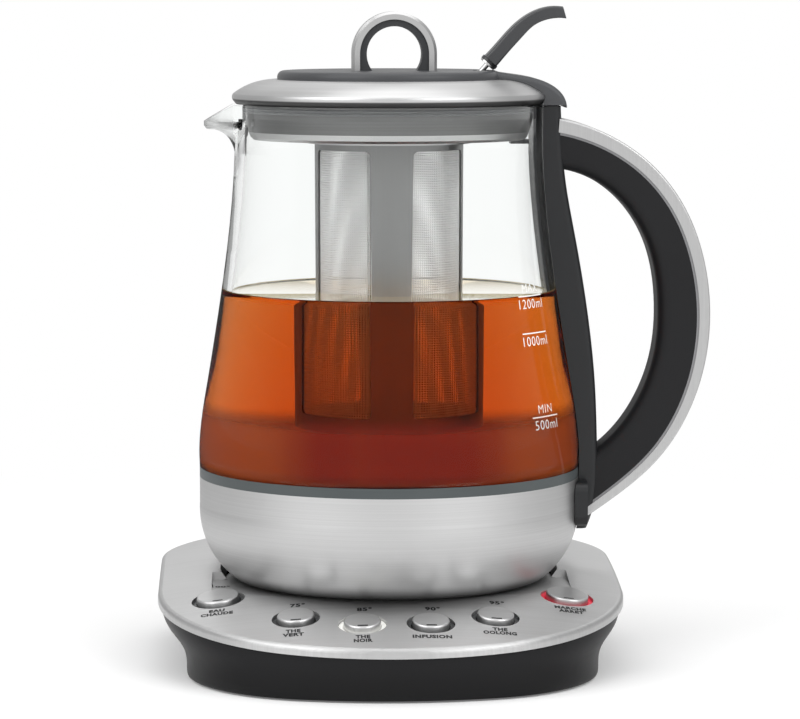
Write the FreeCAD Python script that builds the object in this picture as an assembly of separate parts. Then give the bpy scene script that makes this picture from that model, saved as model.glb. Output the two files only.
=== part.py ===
"""Automatic tea maker: a lit control base, a glass jug on a heated steel bowl,
a lift-off lid with a thumb loop and a lid lever, and a bayonet tea infuser.

Frame, in millimetres: the origin is on the jug's axis, on the table. +Z is up,
+X points to the handle, -X to the spout and -Y to the row of buttons.
"""
import FreeCAD, Part
import math
import os

from FreeCAD import Vector

os.makedirs("parts", exist_ok=True)

# ---------------------------------------------------------------- driving sizes
# base, seen from above
baseHalfWidth = 93.7      # middle to the side of the steel plate
baseFront = 103.5         # jug axis to the front of the steel plate
baseBack = 97.0           # jug axis to the back of the steel plate
frontRadius = 110.0       # radius of the front sweep
shoulderRadius = baseHalfWidth - 9.7    # radius from the front sweep into the sides
backCornerRadius = 52.0

# base, heights
plateHeight = 40.0        # height of the crowned plate over the jug axis
plateTilt = 5.14          # degrees, the plate falls towards the front
crownRadius = 588.0       # radius of the crowned plate
plateThickness = 1.2
lipHeight = 3.5           # depth of the plate's turned-down edge
lipRounding = 2.2
seatHeight = 32.3         # floor of the pocket in the plate
pocketHalfWidth = 72.0    # pocket in front of the jug
pocketBack = -2.0         # where the front pocket ends, along Y
recessRadius = 66.0       # round recess that the bowl stands in, at its floor
recessFlare = 36.0        # degrees, the recess opens upwards to follow the bowl

# base housing
skirtInset = 12.2         # how far the foot of the housing stands in from the plate's edge
skirtAhead = 9.3          # how much less it stands in at the front
footSweep = 150.0         # radii of the foot's front and shoulders, before the inset
footShoulder = baseHalfWidth - 21.7
skirtWall = 2.5
skirtClearance = 1.3      # housing wall to the plate's edge at the top
skirtBottom = 0.8         # height of the housing's lower edge over the table
floorThickness = 2.0
footHeight = 2.0
footRing = 66.0           # outer radius of the rubber ring that the base stands on
footWidth = 6.0
screwShank = 1.4
screwHead = 3.0
outletHeight = 13.0       # cord outlet over the table
outletBore = 3.6
outletBush = 5.6

# buttons on the plate
buttonCircle = 80.4       # radius of the circle that the buttons stand on
buttonAngles = {"hot_water": -59.5, "program_75": -28.9, "program_85": -9.5,
                "program_90": 9.5, "program_95": 28.9, "power": 59.5}
bigButtons = ("hot_water", "power")
bigCapRadius = 8.45
smallCapRadius = 7.25
ringWidth = 2.2           # gap between a cap and the edge of its hole
capProud = 1.7            # cap over the plate
capDepth = 5.0            # cap skirt below the plate
capRounding = 0.7
capPlay = 0.4             # cap to its light ring
ringSink = 1.2            # light ring below the plate
buttonTravel = 1.0
boardDepth = 11.0         # control board below the plate
boardThickness = 1.6
boardMargin = 13.0        # board to each side of the buttons' circle
boardPeg = 1.6

# connector between base and jug
seatRadius = 46.0
seatThickness = 0.7
bossRadius = 18.0
bossHeight = 9.0          # connector boss over the seat
bossDepth = 9.0           # connector boss below the plate's pocket
pinRadius = 2.4
pinPlay = 0.8
bladeInner = 9.4
bladeThickness = 0.8
connectorPlay = 1.0

# jug
bowlRadius = 76.9
bowlWall = 0.9
bowlTop = 75.3
bowlShoulder = 64.5       # height where the bowl starts to turn in
bowlFloorRadius = 60.5
bowlLift = 0.4            # bowl over the underside cover's face
coverRadius = 57.5
coverThickness = 2.0
seamHeight = 4.0
seamWall = 1.5
seamFlange = 1.2
gasketThickness = 0.8
plateReach = bowlRadius - 1.1   # heating plate's radius
heaterThickness = 1.2
bracketHeight = 58.0      # ring that carries the heater's weight and the cover's screws
elementRadius = 45.0
elementTube = 4.0

glassWall = 3.8
neckRadius = 62.2
glassTop = 225.2
neckStart = glassTop - 19.2
sideHeight = neckStart - bowlTop
# the glass's side: share of the way from the neck out to the bowl, and from the bowl up to the neck
glassShares = [(1.0068, 0.0972), (0.7823, 0.2884), (0.4762, 0.4989), (0.2109, 0.7131), (0.0476, 0.9005)]
glassShape = [(neckRadius + (bowlRadius - neckRadius) * out, bowlTop + sideHeight * up) for out, up in glassShares]

spoutAxis = 8.2 - neckRadius    # upright axis of the pouring lip
spoutTip = 20.5           # lip radius round that axis
spoutWall = 3.0
spoutDrop = 6.8           # lip's tip under the top of the glass
spoutTipHeight = glassTop - spoutDrop

# handle
spineHalfWidth = 12.0
spineTop = glassTop - 0.5
spineBottom = 54.0
spineGap = 0.25
footHalfWidth = 22.0
footTop = 74.0
spineBack = [(neckRadius + 6.4, spineTop), (neckRadius + 6.7, spineTop - 6.7), (neckRadius + 7.9, spineTop - 25.7),
             (bowlRadius - 2.2, bowlTop + sideHeight * 0.74), (bowlRadius + 3.2, bowlTop + sideHeight * 0.491),
             (bowlRadius + 6.0, bowlTop + sideHeight * 0.2884), (bowlRadius + 7.0, bowlTop + sideHeight * 0.0895),
             (bowlRadius + 5.7, bowlTop - 12.3), (bowlRadius + 2.7, spineBottom)]
handleFoot = bowlTop - 16.3
handleTop = spineTop - 4.9
handleHeight = handleTop - handleFoot
# the handle's outline: how far out from the bowl's side, and the share of the handle's height
backShares = [(5.7, 0.9739), (16.2, 0.9415), (27.7, 0.8887), (40.6, 0.7904), (49.7, 0.6468), (52.3, 0.5224),
              (50.3, 0.3825), (43.4, 0.255), (31.4, 0.1418), (19.1, 0.0715), (3.1, 0.0)]
holeShares = [(6.2, 0.8408), (17.3, 0.7836), (26.5, 0.6903), (31.3, 0.5386), (29.1, 0.3862), (22.7, 0.2848),
              (14.1, 0.209), (3.1, 0.1524)]
handleBack = [(neckRadius + 5.8, handleTop)]
handleBack += [(bowlRadius + out, handleFoot + handleHeight * up) for out, up in backShares]
handHole = [(neckRadius + 3.8, handleTop - 20.2)]
handHole += [(bowlRadius + out, handleFoot + handleHeight * up) for out, up in holeShares]
handCentre = (bowlRadius - 14.9, handleFoot + handleHeight * 0.51)
handleReach = max(x for x, z in handleBack)
bandTop = 5.6             # silver band thickness at the top, and at the bottom
bandEnd = 3.4
trimThickness = 1.0
bandHalfWidth = 12.0
bandRounding = 0.8
gripHalfWidth = 11.5
gripRounding = 5.0

# lid
lidSeat = 0.3             # lid's rim over the glass
domeRadius = neckRadius + 1.0
domeWall = 0.8
domeRim = glassTop + lidSeat
domeSide = domeRim + 2.9  # height where the dome is widest
domeTop = domeRim + 9.7
domeFlat = 44.0
topPlateRadius = 45.0
topPlateThickness = 3.5
topPlateRounding = 2.6
topPlateLow = domeTop + 0.1
topPlateTop = topPlateLow + topPlateThickness
armHalfWidth = 13.0
armTip = 71.0
plugPlay = 0.5            # lid's collar to the neck's bore
plugRadius = neckRadius - glassWall - plugPlay
plugTaper = 1.4
plugWall = 2.2
plugTop = domeRim
plugBottom = domeRim - 10.9
plugLip = 3.2
lidLipWall = 1.6
sealPlay = 0.15           # seal's lips to the neck's bore
sealRadius = neckRadius - glassWall - sealPlay
loopX = 2.0
loopCentre = domeTop + 10.2
loopRadius = 17.05
loopBand = 3.2
loopHole = 11.1
loopHalfDepth = 7.0

# lid lever
pivotX = 36.0
pivotZ = domeTop + 2.0    # the pin runs inside the dark top plate
leverPin = 0.8
pinRunning = 0.05         # radial clearance on the lever's pin
leverHub = 1.6
leverHubHalf = 2.0
leverPinHalf = 6.0
leverRod = 1.1
leverHalfWidth = 6.5
washerRadius = 3.4
flangeRadius = 3.7
latchHalfWidth = 2.0
toeHalfWidth = 4.0
latchThickness = 2.0
latchReach = 51.0
latchTop = plugTop - 4.2
latchToe = plugBottom - plugLip - 2.0

# infuser
infuserRadius = 30.0
infuserWall = 0.9
infuserTop = plugBottom - plugLip - 1.6
infuserBottom = 94.0
windowTop = infuserTop - 2.5
windowBottom = 100.0
windowHalfTop = 14.2
windowHalfBottom = 15.2
meshThickness = 0.4
meshGap = 0.1
bayonetHole = 31.0
bayonetPlay = 0.5
bayonetLug = 33.4
bayonetTurn = 30.0        # degrees

RIGHT = Vector(1, 0, 0)
BACK = Vector(0, 1, 0)
UP = Vector(0, 0, 1)
FRONT = -BACK
ORIGIN = Vector(0, 0, 0)


# ------------------------------------------------------------- general helpers
def save(name, shape):
    """Write one node, checked to be valid solids."""
    solids = shape.Solids
    good = shape.isValid() and len(solids) > 0 and all(s.Volume > 0 for s in solids)
    print(f"{name:22s} solids {len(solids)} volume {shape.Volume / 1000:8.2f} cm3 {'ok' if good else 'BAD'}")
    out = solids[0] if len(solids) == 1 else Part.makeCompound(solids)
    out.exportStep(f"parts/{name}.step")


def cylinder(radius, low, high, x=0.0, y=0.0):
    return Part.makeCylinder(radius, high - low, Vector(x, y, low), UP)


def tube(outer, inner, low, high, x=0.0, y=0.0):
    return cylinder(outer, low, high, x, y).cut(cylinder(inner, low - 1, high + 1, x, y))


def box(x0, x1, y0, y1, z0, z1):
    return Part.makeBox(x1 - x0, y1 - y0, z1 - z0, Vector(x0, y0, z0))


def flat(r, z):
    """A point of a profile in the XZ plane."""
    return Vector(r, 0, z)


def line(a, b):
    return Part.makeLine(flat(*a), flat(*b))


def arc(a, middle, b):
    return Part.Arc(flat(*a), flat(*middle), flat(*b)).toShape()


def curve(points):
    spline = Part.BSplineCurve()
    spline.interpolate([flat(*p) for p in points])
    return spline.toShape()


def polyline(points):
    return [line(a, b) for a, b in zip(points, points[1:])]


def face_of(edges):
    return Part.Face(Part.Wire(edges))


def turned(edges, axisX=0.0):
    """Solid of revolution of a closed XZ profile round an upright axis."""
    return face_of(edges).revolve(Vector(axisX, 0, 0), UP, 360)


def turned_points(points):
    return turned(polyline(points + points[:1]))


def pressed(edges, halfWidth):
    """Closed XZ profile, as thick as its width along Y, centred."""
    solid = face_of(edges).extrude(BACK * (2 * halfWidth))
    solid.translate(FRONT * halfWidth)
    return solid


def round_edges(solid, radius, wanted):
    """Fillet the edges that the test picks out."""
    edges = [e for e in solid.Edges if wanted(e)]
    return solid.makeFillet(radius, edges) if edges else solid


# ------------------------------------------------------------------- base plan
def base_outline(inset, ahead=0.0, foot=0.0):
    """The base's outline seen from above, in from the plate's edge: tangent arcs and lines.

    The front can be moved ahead, and takes on the radii of the foot as foot goes from 0 to 1.
    """
    sweepRadius = frontRadius + (footSweep - frontRadius) * foot
    sideRadius = shoulderRadius + (footShoulder - shoulderRadius) * foot
    frontCentre = Vector(0, sweepRadius - baseFront - ahead, 0)
    shoulderX = baseHalfWidth - sideRadius
    reach = sweepRadius - sideRadius
    shoulderY = frontCentre.y - math.sqrt(reach ** 2 - shoulderX ** 2)
    joint = math.atan2(shoulderX, frontCentre.y - shoulderY)
    cornerX = baseHalfWidth - backCornerRadius
    cornerY = baseBack - backCornerRadius

    def sweep(centreX, centreY, radius, start, end):
        at = lambda a: Vector(centreX + radius * math.sin(a), centreY - radius * math.cos(a), 0)
        return Part.Arc(at(start), at((start + end) / 2), at(end)).toShape()

    def side(start, end):
        return Part.makeLine(start, end)

    front, shoulder = sweepRadius - inset, sideRadius - inset
    corner, half, back = backCornerRadius - inset, baseHalfWidth - inset, baseBack - inset
    quarter = math.pi / 2
    return Part.Wire([
        sweep(0, frontCentre.y, front, -joint, joint),
        sweep(shoulderX, shoulderY, shoulder, joint, quarter),
        side(Vector(half, shoulderY, 0), Vector(half, cornerY, 0)),
        sweep(cornerX, cornerY, corner, quarter, 2 * quarter),
        side(Vector(cornerX, back, 0), Vector(-cornerX, back, 0)),
        sweep(-cornerX, cornerY, corner, 2 * quarter, 3 * quarter),
        side(Vector(-half, cornerY, 0), Vector(-half, shoulderY, 0)),
        sweep(-shoulderX, shoulderY, shoulder, -quarter, -joint)])


def base_prism(inset, low, high, ahead=0.0, foot=0.0):
    wire = base_outline(inset, ahead, foot)
    wire.translate(UP * low)
    return Part.Face(wire).extrude(UP * (high - low))


tilt = math.radians(plateTilt)
crownCentre = Vector(0, crownRadius * math.sin(tilt), plateHeight - crownRadius * math.cos(tilt))


def crown(depth):
    """The ball whose top is the plate's crowned surface, lowered by depth along its normal."""
    return Part.makeSphere(crownRadius - depth, crownCentre)


def crown_height(x, y):
    return crownCentre.z + math.sqrt(crownRadius ** 2 - x ** 2 - (y - crownCentre.y) ** 2)


def rim_height(y):
    """Height of the plate's edge at the sides, where the plate's tilt carries it."""
    return crown_height(baseHalfWidth, 0) + math.tan(tilt) * y


def on_plate(angle):
    """Where a button stands: its point on the plate and the plate's outward normal there."""
    a = math.radians(angle)
    x, y = buttonCircle * math.sin(a), -buttonCircle * math.cos(a)
    point = Vector(x, y, crown_height(x, y))
    return point, (point - crownCentre).normalize()


def along(point, normal, radius, low, high):
    """A cylinder along a button's axis, between two heights over the plate."""
    return Part.makeCylinder(radius, high - low, point + normal * low, normal)


def cap_radius(name):
    return bigCapRadius if name in bigButtons else smallCapRadius


def hole_radius(name):
    return cap_radius(name) + ringWidth


# ------------------------------------------------------------------------ base
def pocket(grow, floor):
    """The round recess under the bowl and the pocket in front of it."""
    top = plateHeight + 20
    rise = top - floor
    low = recessRadius + grow - (seatHeight - floor) * math.tan(math.radians(recessFlare))
    around = Part.makeCone(low, low + rise * math.tan(math.radians(recessFlare)), rise, Vector(0, 0, floor), UP)
    front = box(-pocketHalfWidth - grow, pocketHalfWidth + grow, -baseFront - 10, pocketBack + grow, floor, top)
    return around.fuse(front)


def plate_skin(inset, depth, floor):
    block = base_prism(inset, 0.5, plateHeight + 20).common(crown(depth))
    if inset == 0:
        top = [e for e in block.Edges if e.CenterOfMass.z > 15]
        block = block.makeFillet(lipRounding, top)
    return block.cut(pocket(depth, floor))


def make_base_plate():
    skin = plate_skin(0, 0, seatHeight)
    inside = plate_skin(plateThickness, plateThickness, seatHeight - plateThickness)
    plate = skin.cut(inside).cut(crown(lipHeight))
    floor = base_prism(plateThickness, 0.5, seatHeight).common(skin)
    floor = floor.cut(inside).common(cylinder(recessRadius + 40, 0, plateHeight))
    plate = plate.fuse(floor)
    for name, angle in buttonAngles.items():
        point, normal = on_plate(angle)
        plate = plate.cut(along(point, normal, hole_radius(name), -8, 8))
    return plate.cut(cylinder(bossRadius + 2, 0, plateHeight)).removeSplitter()


def skirt_section(share, inset, ahead, foot):
    """A section of the housing, part of the way from the table to the tilted rim."""
    wire = base_outline(inset, ahead, foot)
    lean = math.atan(share * math.tan(tilt))
    wire.rotate(ORIGIN, RIGHT, math.degrees(lean))
    wire.translate(UP * (skirtBottom + share * (rim_height(0) - skirtBottom)))
    return wire


def skirt(grow):
    steps = [(0.0, skirtInset, skirtAhead, 1.0), (0.31, skirtInset - 1.0, skirtAhead - 1.0, 1.0),
             (0.48, skirtInset * 0.66, skirtAhead * 0.58, 0.7), (0.63, skirtInset * 0.30, skirtAhead * 0.15, 0.35),
             (0.78, skirtClearance + 0.3, 0.0, 0.0), (1.0, skirtClearance, 0.0, 0.0)]
    return Part.makeLoft([skirt_section(share, inset + grow, ahead, foot) for share, inset, ahead, foot in steps],
                         True, False)


def screw_posts():
    """Where the floor is screwed on: close to the housing's wall."""
    reachX = baseHalfWidth - skirtInset - skirtWall - 12
    return [(sx * reachX, y) for sx in (-1, 1) for y in (-30.0, 45.0)]


def make_base_housing():
    outer = skirt(0.0)
    wall = outer.cut(skirt(skirtWall))
    wall = wall.common(crown(plateThickness + 0.1))
    floorTop = footHeight + floorThickness
    for x, y in screw_posts():
        post = box(min(x, math.copysign(baseHalfWidth, x)), max(x, math.copysign(baseHalfWidth, x)),
                   y - 4, y + 4, floorTop + 0.05, floorTop + 12).common(outer)
        post = post.fuse(cylinder(4, floorTop + 0.05, floorTop + 12, x, y))
        wall = wall.fuse(post).cut(cylinder(screwShank + 0.05, floorTop, floorTop + 9, x, y))
    bore = Part.makeCylinder(outletBush + 0.05, 40, Vector(0, baseBack - 30, outletHeight), BACK)
    return wall.cut(bore)


def board_posts():
    return [(sx * 47.0, -58.0) for sx in (-1, 1)]


def make_base_floor():
    top = footHeight + floorThickness
    plate = base_prism(skirtInset + skirtWall + 0.6, footHeight, top, skirtAhead, 1.0)
    for x, y in screw_posts():
        plate = plate.cut(cylinder(screwShank + 0.3, 0, top + 1, x, y))
        plate = plate.cut(cylinder(screwHead + 0.3, 0, footHeight + 1.0, x, y))
    for k in range(-4, 5):
        plate = plate.cut(box(k * 7.0 - 1.2, k * 7.0 + 1.2, 20, 44, 0, top + 1))
    for x in (-34.0, 34.0):
        for y in (30.0, 62.0):
            plate = plate.fuse(tube(3.0, screwShank, top, 10, x, y))
    for x, y in board_posts():
        post = cylinder(3.5, top, plateHeight, x, y).common(crown(boardDepth + boardThickness))
        peg = cylinder(boardPeg, top, plateHeight, x, y).common(crown(boardDepth - 1.0))
        plate = plate.fuse([post, peg])
    column = tube(bossRadius - 1, bossRadius - 3, top, seatHeight - bossDepth)
    return plate.fuse(column)


def make_foot_ring():
    ring = tube(footRing, footRing - footWidth, 0, footHeight)
    return round_edges(ring, 0.5, lambda e: e.CenterOfMass.z < 0.1)


def make_base_screws():
    low = footHeight + 0.1
    screws = []
    for x, y in screw_posts():
        head = cylinder(screwHead, low, footHeight + 1.0, x, y)
        slot = box(x - 0.4, x + 0.4, y - 1.9, y + 1.9, low - 1, low + 0.4)
        screws.append(head.fuse(cylinder(screwShank, low, low + 9, x, y)).cut(slot))
    return Part.makeCompound(screws)


def make_connector_socket():
    """Black seat with the connector boss that the jug turns on."""
    seatTop = seatHeight + seatThickness
    seat = cylinder(seatRadius, seatHeight, seatTop)
    seat = round_edges(seat, 0.4, lambda e: e.CenterOfMass.z > seatTop - 0.1)
    body = cylinder(bossRadius, seatHeight - bossDepth, seatTop + bossHeight)
    body = round_edges(body, 1.5, lambda e: e.CenterOfMass.z > seatTop + bossHeight - 0.1)
    low = seatTop + 1.0
    pinBore = cylinder(pinRadius + pinPlay, low, 60)
    blade = tube(bladeInner + bladeThickness + pinPlay, bladeInner - pinPlay, low, 60)
    return seat.fuse(body).cut(pinBore).cut(blade)


def make_socket_contacts():
    """Brass leaf rings at the bottom of the two grooves."""
    low = seatHeight + seatThickness + 1.0
    pin = tube(pinRadius + pinPlay - 0.1, 1.2, low, low + 0.8)
    blade = tube(bladeInner + bladeThickness + pinPlay - 0.1, bladeInner - pinPlay + 0.1, low, low + 0.8)
    return Part.makeCompound([pin, blade])


def make_button(name):
    point, normal = on_plate(buttonAngles[name])
    radius = cap_radius(name)
    top = along(point, normal, radius, -1.5, capProud)
    crest = point + normal * capProud
    top = round_edges(top, capRounding, lambda e: e.CenterOfMass.distanceToPoint(crest) < 0.01)
    skirtPart = along(point, normal, radius - 0.15, -capDepth, -1.5)
    skirtPart = skirtPart.cut(along(point, normal, radius - 1.6, -capDepth - 1, -2.5))
    stem = along(point, normal, 2.0, -capDepth - 0.4, -2.0)
    return top.fuse([skirtPart, stem])


def make_light_ring(name):
    """Clear sleeve from the control board to just below the plate."""
    point, normal = on_plate(buttonAngles[name])
    outer = along(point, normal, hole_radius(name) - 0.15, -boardDepth, -ringSink)
    return outer.cut(along(point, normal, cap_radius(name) + capPlay, -boardDepth - 1, 1))


def board_sector(low, high, margin):
    """Sector under the row of buttons, between two depths below the plate."""
    span = max(buttonAngles.values()) + 13.0
    ring = tube(buttonCircle + margin, buttonCircle - margin, 0.5, plateHeight + 20)
    a = math.radians(span)
    far = 300.0
    wedge = Part.Face(Part.makePolygon([ORIGIN, Vector(-far * math.sin(a), -far * math.cos(a), 0),
                                        Vector(0, -2 * far, 0),
                                        Vector(far * math.sin(a), -far * math.cos(a), 0), ORIGIN]))
    sector = ring.common(wedge.extrude(UP * 80))
    return sector.common(crown(low)).cut(crown(high))


def make_control_board():
    board = board_sector(boardDepth, boardDepth + boardThickness, boardMargin)
    keep = base_prism(skirtInset + skirtWall + 2.0, 0, plateHeight)
    board = board.common(keep)
    for x, y in board_posts():
        board = board.cut(cylinder(boardPeg + 0.1, 0, plateHeight, x, y))
    return board


def make_switches():
    """One tact switch under each button, its plunger clear of the stem until it is pressed."""
    parts = []
    for name, angle in buttonAngles.items():
        point, normal = on_plate(angle)
        body = along(point, normal, 3.2, -boardDepth, -boardDepth + 2.6)
        plunger = along(point, normal, 1.4, -boardDepth + 2.6, -capDepth - 0.5 - buttonTravel)
        parts.append(body.fuse(plunger))
    return Part.makeCompound(parts)


def make_power_board():
    low = 10.0
    board = box(-38, 38, 26, 66, low, low + 1.6)
    for x in (-34.0, 34.0):
        for y in (30.0, 62.0):
            board = board.cut(cylinder(screwShank, 0, 20, x, y))
    return board


def make_relay():
    low = 11.6
    relay = box(-30, -12, 32, 44, low, low + 11)
    return round_edges(relay, 0.8, lambda e: abs(e.tangentAt(e.FirstParameter).z) > 0.9)


def make_capacitors():
    low = 11.6
    cans = [cylinder(r, low, low + h, x, y) for r, h, x, y in ((4, 10, 6, 38), (3, 8, 16, 36), (3, 8, 24, 36))]
    return Part.makeCompound([round_edges(c, 0.5, lambda e: e.CenterOfMass.z > low + 6) for c in cans])


def make_cord_outlet():
    """Bush in the back of the housing, with the opening for the mains lead."""
    wallY = baseBack - skirtInset + 2.2
    at = lambda y: Vector(0, y, outletHeight)
    bush = Part.makeCylinder(outletBush, 9, at(wallY - 7), BACK)
    flange = Part.makeCylinder(outletBush + 2.2, 2, at(wallY - 7), BACK)
    nose = Part.makeCone(outletBush, outletBush - 1.2, 2, at(wallY + 2), BACK)
    return bush.fuse([flange, nose]).cut(Part.makeCylinder(outletBore, 30, at(wallY - 20), BACK))


# ------------------------------------------------------------------------- jug
jugBase = seatHeight + seatThickness
bowlFloor = jugBase + bowlLift


def bowl_profile(off):
    """The bowl's section, in by off: floor, foot rounding, big arc and upright side."""
    floor, top = bowlFloor + off, bowlTop
    foot = (bowlFloorRadius - 0.4 * off, floor)
    knee = (bowlFloorRadius + 3.4 - 0.6 * off, bowlFloor + 1.5 + 0.8 * off)
    kneeMiddle = (bowlFloorRadius + 1.9 - 0.5 * off, bowlFloor + 0.45 + 0.9 * off)
    belly = (bowlRadius - 3.4 - 0.9 * off, 46.9 + 0.5 * off)
    shoulder = (bowlRadius - off, bowlShoulder)
    rim = (bowlRadius - off, top)
    return [line((0, floor), foot), arc(foot, kneeMiddle, knee), arc(knee, belly, shoulder),
            line(shoulder, rim), line(rim, (0, top)), line((0, top), (0, floor))]


def glass_side(off):
    """The glass wall's outline as one smooth curve, in by off."""
    low = (bowlRadius - off, bowlTop + seamHeight + 0.1)
    return [low] + [(r - off, z) for r, z in glassShape] + [(neckRadius - off, neckStart)]


def glass_body(off, low, high, foot):
    side = glass_side(off)
    edges = [line((0, low), (foot, low)), line((foot, low), (foot, side[0][1]))]
    if abs(foot - side[0][0]) > 0.01:
        edges.append(line((foot, side[0][1]), side[0]))
    edges += [curve(side), line(side[-1], (side[-1][0], high)), line((side[-1][0], high), (0, high)),
              line((0, high), (0, low))]
    return turned(edges)


def spout_body(off, low):
    """Trumpet-shaped pouring lip round its own upright axis, in by off."""
    x = spoutAxis
    foot = 8.0 - off
    side = [(foot, neckStart - 1.5), (9.3 - off, glassTop - 15.6), (12.2 - off, glassTop - 11.8 + 0.3 * off),
            (16.5 - 0.8 * off, glassTop - 9.9 + 0.9 * off), (spoutTip - 1.0 - off, glassTop - 9.6 + off)]
    tip = (spoutTip - off, glassTop - 8.3 + off)
    at = lambda p: (x + p[0], p[1])
    edges = [line(at((0, low)), at((foot, low)))]
    if low < neckStart - 1.5:
        edges.append(line(at((foot, low)), at(side[0])))
    edges += [curve([at(p) for p in side]), line(at(side[-1]), at(tip)),
              line(at(tip), at((spoutTip - off, glassTop))), line(at((spoutTip - off, glassTop)), at((0, glassTop))),
              line(at((0, glassTop)), at((0, low)))]
    return turned(edges, x)


def make_glass_jug():
    low = bowlTop + seamFlange + gasketThickness
    footOuter = bowlRadius - seamWall - 0.1
    outer = glass_body(0, low, glassTop, footOuter)
    inner = glass_body(glassWall, low, glassTop, footOuter - glassWall)
    lip = spout_body(0, neckStart - 1.5)
    channel = spout_body(spoutWall, neckStart - 1.5)
    slope = Part.Face(Part.makePolygon([flat(spoutAxis - spoutTip - 5, spoutTipHeight - 2.6),
                                        flat(-neckRadius - 0.5, glassTop), flat(-neckRadius - 0.5, glassTop + 20),
                                        flat(spoutAxis - spoutTip - 5, glassTop + 20),
                                        flat(spoutAxis - spoutTip - 5, spoutTipHeight - 2.6)]))
    above = slope.extrude(BACK * 80)
    above.translate(FRONT * 40)
    glass = outer.fuse(lip).cut(inner).cut(channel).cut(above)
    return glass.removeSplitter()


def make_seam_ring():
    wall = tube(bowlRadius, bowlRadius - seamWall, bowlTop, bowlTop + seamHeight)
    return wall.fuse(tube(bowlRadius, bowlRadius - 10.9, bowlTop, bowlTop + seamFlange)).removeSplitter()


def make_jug_gasket():
    low = bowlTop + seamFlange
    return tube(bowlRadius - seamWall - 0.1, bowlRadius - 8.9, low, low + gasketThickness)


def make_steel_bowl():
    bowl = turned(bowl_profile(0)).cut(turned(bowl_profile(bowlWall)))
    bowl = bowl.cut(cylinder(coverRadius - 2.0, 0, bowlFloor + 5))
    for y, z in handle_screw_places():
        bowl = bowl.cut(Part.makeCylinder(screwShank + 0.2, 30, Vector(bowlRadius - 17, y, z), RIGHT))
    return bowl.cut(cylinder(bowlRadius - bowlWall, bowlTop - 0.5, bowlTop + 5))


def make_heating_plate():
    plate = cylinder(plateReach, bowlTop - heaterThickness, bowlTop)
    return plate.cut(cylinder(2.0, 0, 100, -32, 0))


def make_heating_element():
    """Horseshoe tube element pressed to the underside of the heating plate."""
    ring = Part.makeTorus(elementRadius, elementTube, Vector(0, 0, bowlTop - heaterThickness - elementTube), UP)
    ring = ring.cut(box(elementRadius - 12, elementRadius + 12, -11, 11, 0, 90))
    low = bowlTop - heaterThickness
    ends = [cylinder(2.2, low - 22, low - 2 * elementTube + 1.5, elementRadius * 0.965, sy * 13.5) for sy in (-1, 1)]
    return ring.fuse(ends)


def make_temperature_sensor():
    probe = cylinder(3.2, bowlTop, bowlTop + 7, -32, 0)
    probe = round_edges(probe, 1.5, lambda e: e.CenterOfMass.z > bowlTop + 6.9)
    return probe.fuse(cylinder(1.9, bowlTop - 8, bowlTop, -32, 0))


def make_bowl_cover():
    """Black underside of the jug, with the cup that drops over the connector boss."""
    cupTop = jugBase + bossHeight + connectorPlay + 3.0
    cup = bossRadius + connectorPlay
    disc = cylinder(coverRadius - 2.1, jugBase, jugBase + coverThickness + bowlWall)
    flange = tube(coverRadius + 1.5, coverRadius - 3.0, bowlFloor + bowlWall + 0.05, jugBase + coverThickness + bowlWall + 1)
    wall = cylinder(cup + 2.0, jugBase, cupTop + 1.6)
    cover = disc.fuse([flange, wall])
    cover = cover.cut(cylinder(cup, jugBase - 1, cupTop))
    for k in range(3):
        a = math.radians(60 + 120 * k)
        x, y = 44 * math.cos(a), 44 * math.sin(a)
        cover = cover.cut(cylinder(screwHead + 0.2, jugBase - 1, jugBase + 1.2, x, y))
        cover = cover.fuse(tube(4.0, screwShank, jugBase + 1.2, bracketHeight, x, y))
        cover = cover.cut(cylinder(screwShank, jugBase, bracketHeight + 1, x, y))
    return cover


def make_heater_bracket():
    """Ring under the heater, hung from it on three legs, that the cover is screwed to."""
    top = bracketHeight + 1.5
    ring = tube(50.0, 27.0, bracketHeight, top).cut(box(36, 60, -18, 18, 0, 90))
    for k in range(3):
        a = math.radians(120 * k + 20)
        ring = ring.fuse(cylinder(2.5, top, bowlTop - heaterThickness, 31 * math.cos(a), 31 * math.sin(a)))
        b = math.radians(60 + 120 * k)
        ring = ring.cut(cylinder(screwShank, 0, 90, 44 * math.cos(b), 44 * math.sin(b)))
    return ring


def make_thermal_control():
    """Cut-out block on top of the connector cup, with its terminals."""
    low = jugBase + bossHeight + connectorPlay + 4.6
    block = round_edges(cylinder(16.0, low, low + 6), 1.0, lambda e: e.CenterOfMass.z > low + 5.9)
    blades = [box(x, x + 0.8, -3, 3, low + 6, low + 12) for x in (-9.0, 0.0, 9.0)]
    return block.fuse(blades)


def make_cover_screws():
    screws = []
    for k in range(3):
        a = math.radians(60 + 120 * k)
        x, y = 44 * math.cos(a), 44 * math.sin(a)
        head = cylinder(screwHead, jugBase + 0.15, jugBase + 1.2, x, y)
        screws.append(head.fuse(cylinder(screwShank, jugBase + 1.2, bracketHeight + 2.5, x, y)))
    return Part.makeCompound(screws)


def make_jug_connector():
    """Turning half of the cordless connector: a disc with its pin and ring blade."""
    top = jugBase + bossHeight + connectorPlay + 2.9
    under = jugBase + bossHeight + 0.6
    disc = cylinder(bossRadius - 0.5, under, top)
    pin = cylinder(pinRadius, jugBase + 2.2, under)
    blade = tube(bladeInner + bladeThickness, bladeInner, jugBase + 2.2, under)
    return disc.fuse([pin, blade])


# ---------------------------------------------------------------------- handle
def handle_screw_places():
    return [(-10.0, 64.0), (10.0, 64.0)]


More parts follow.
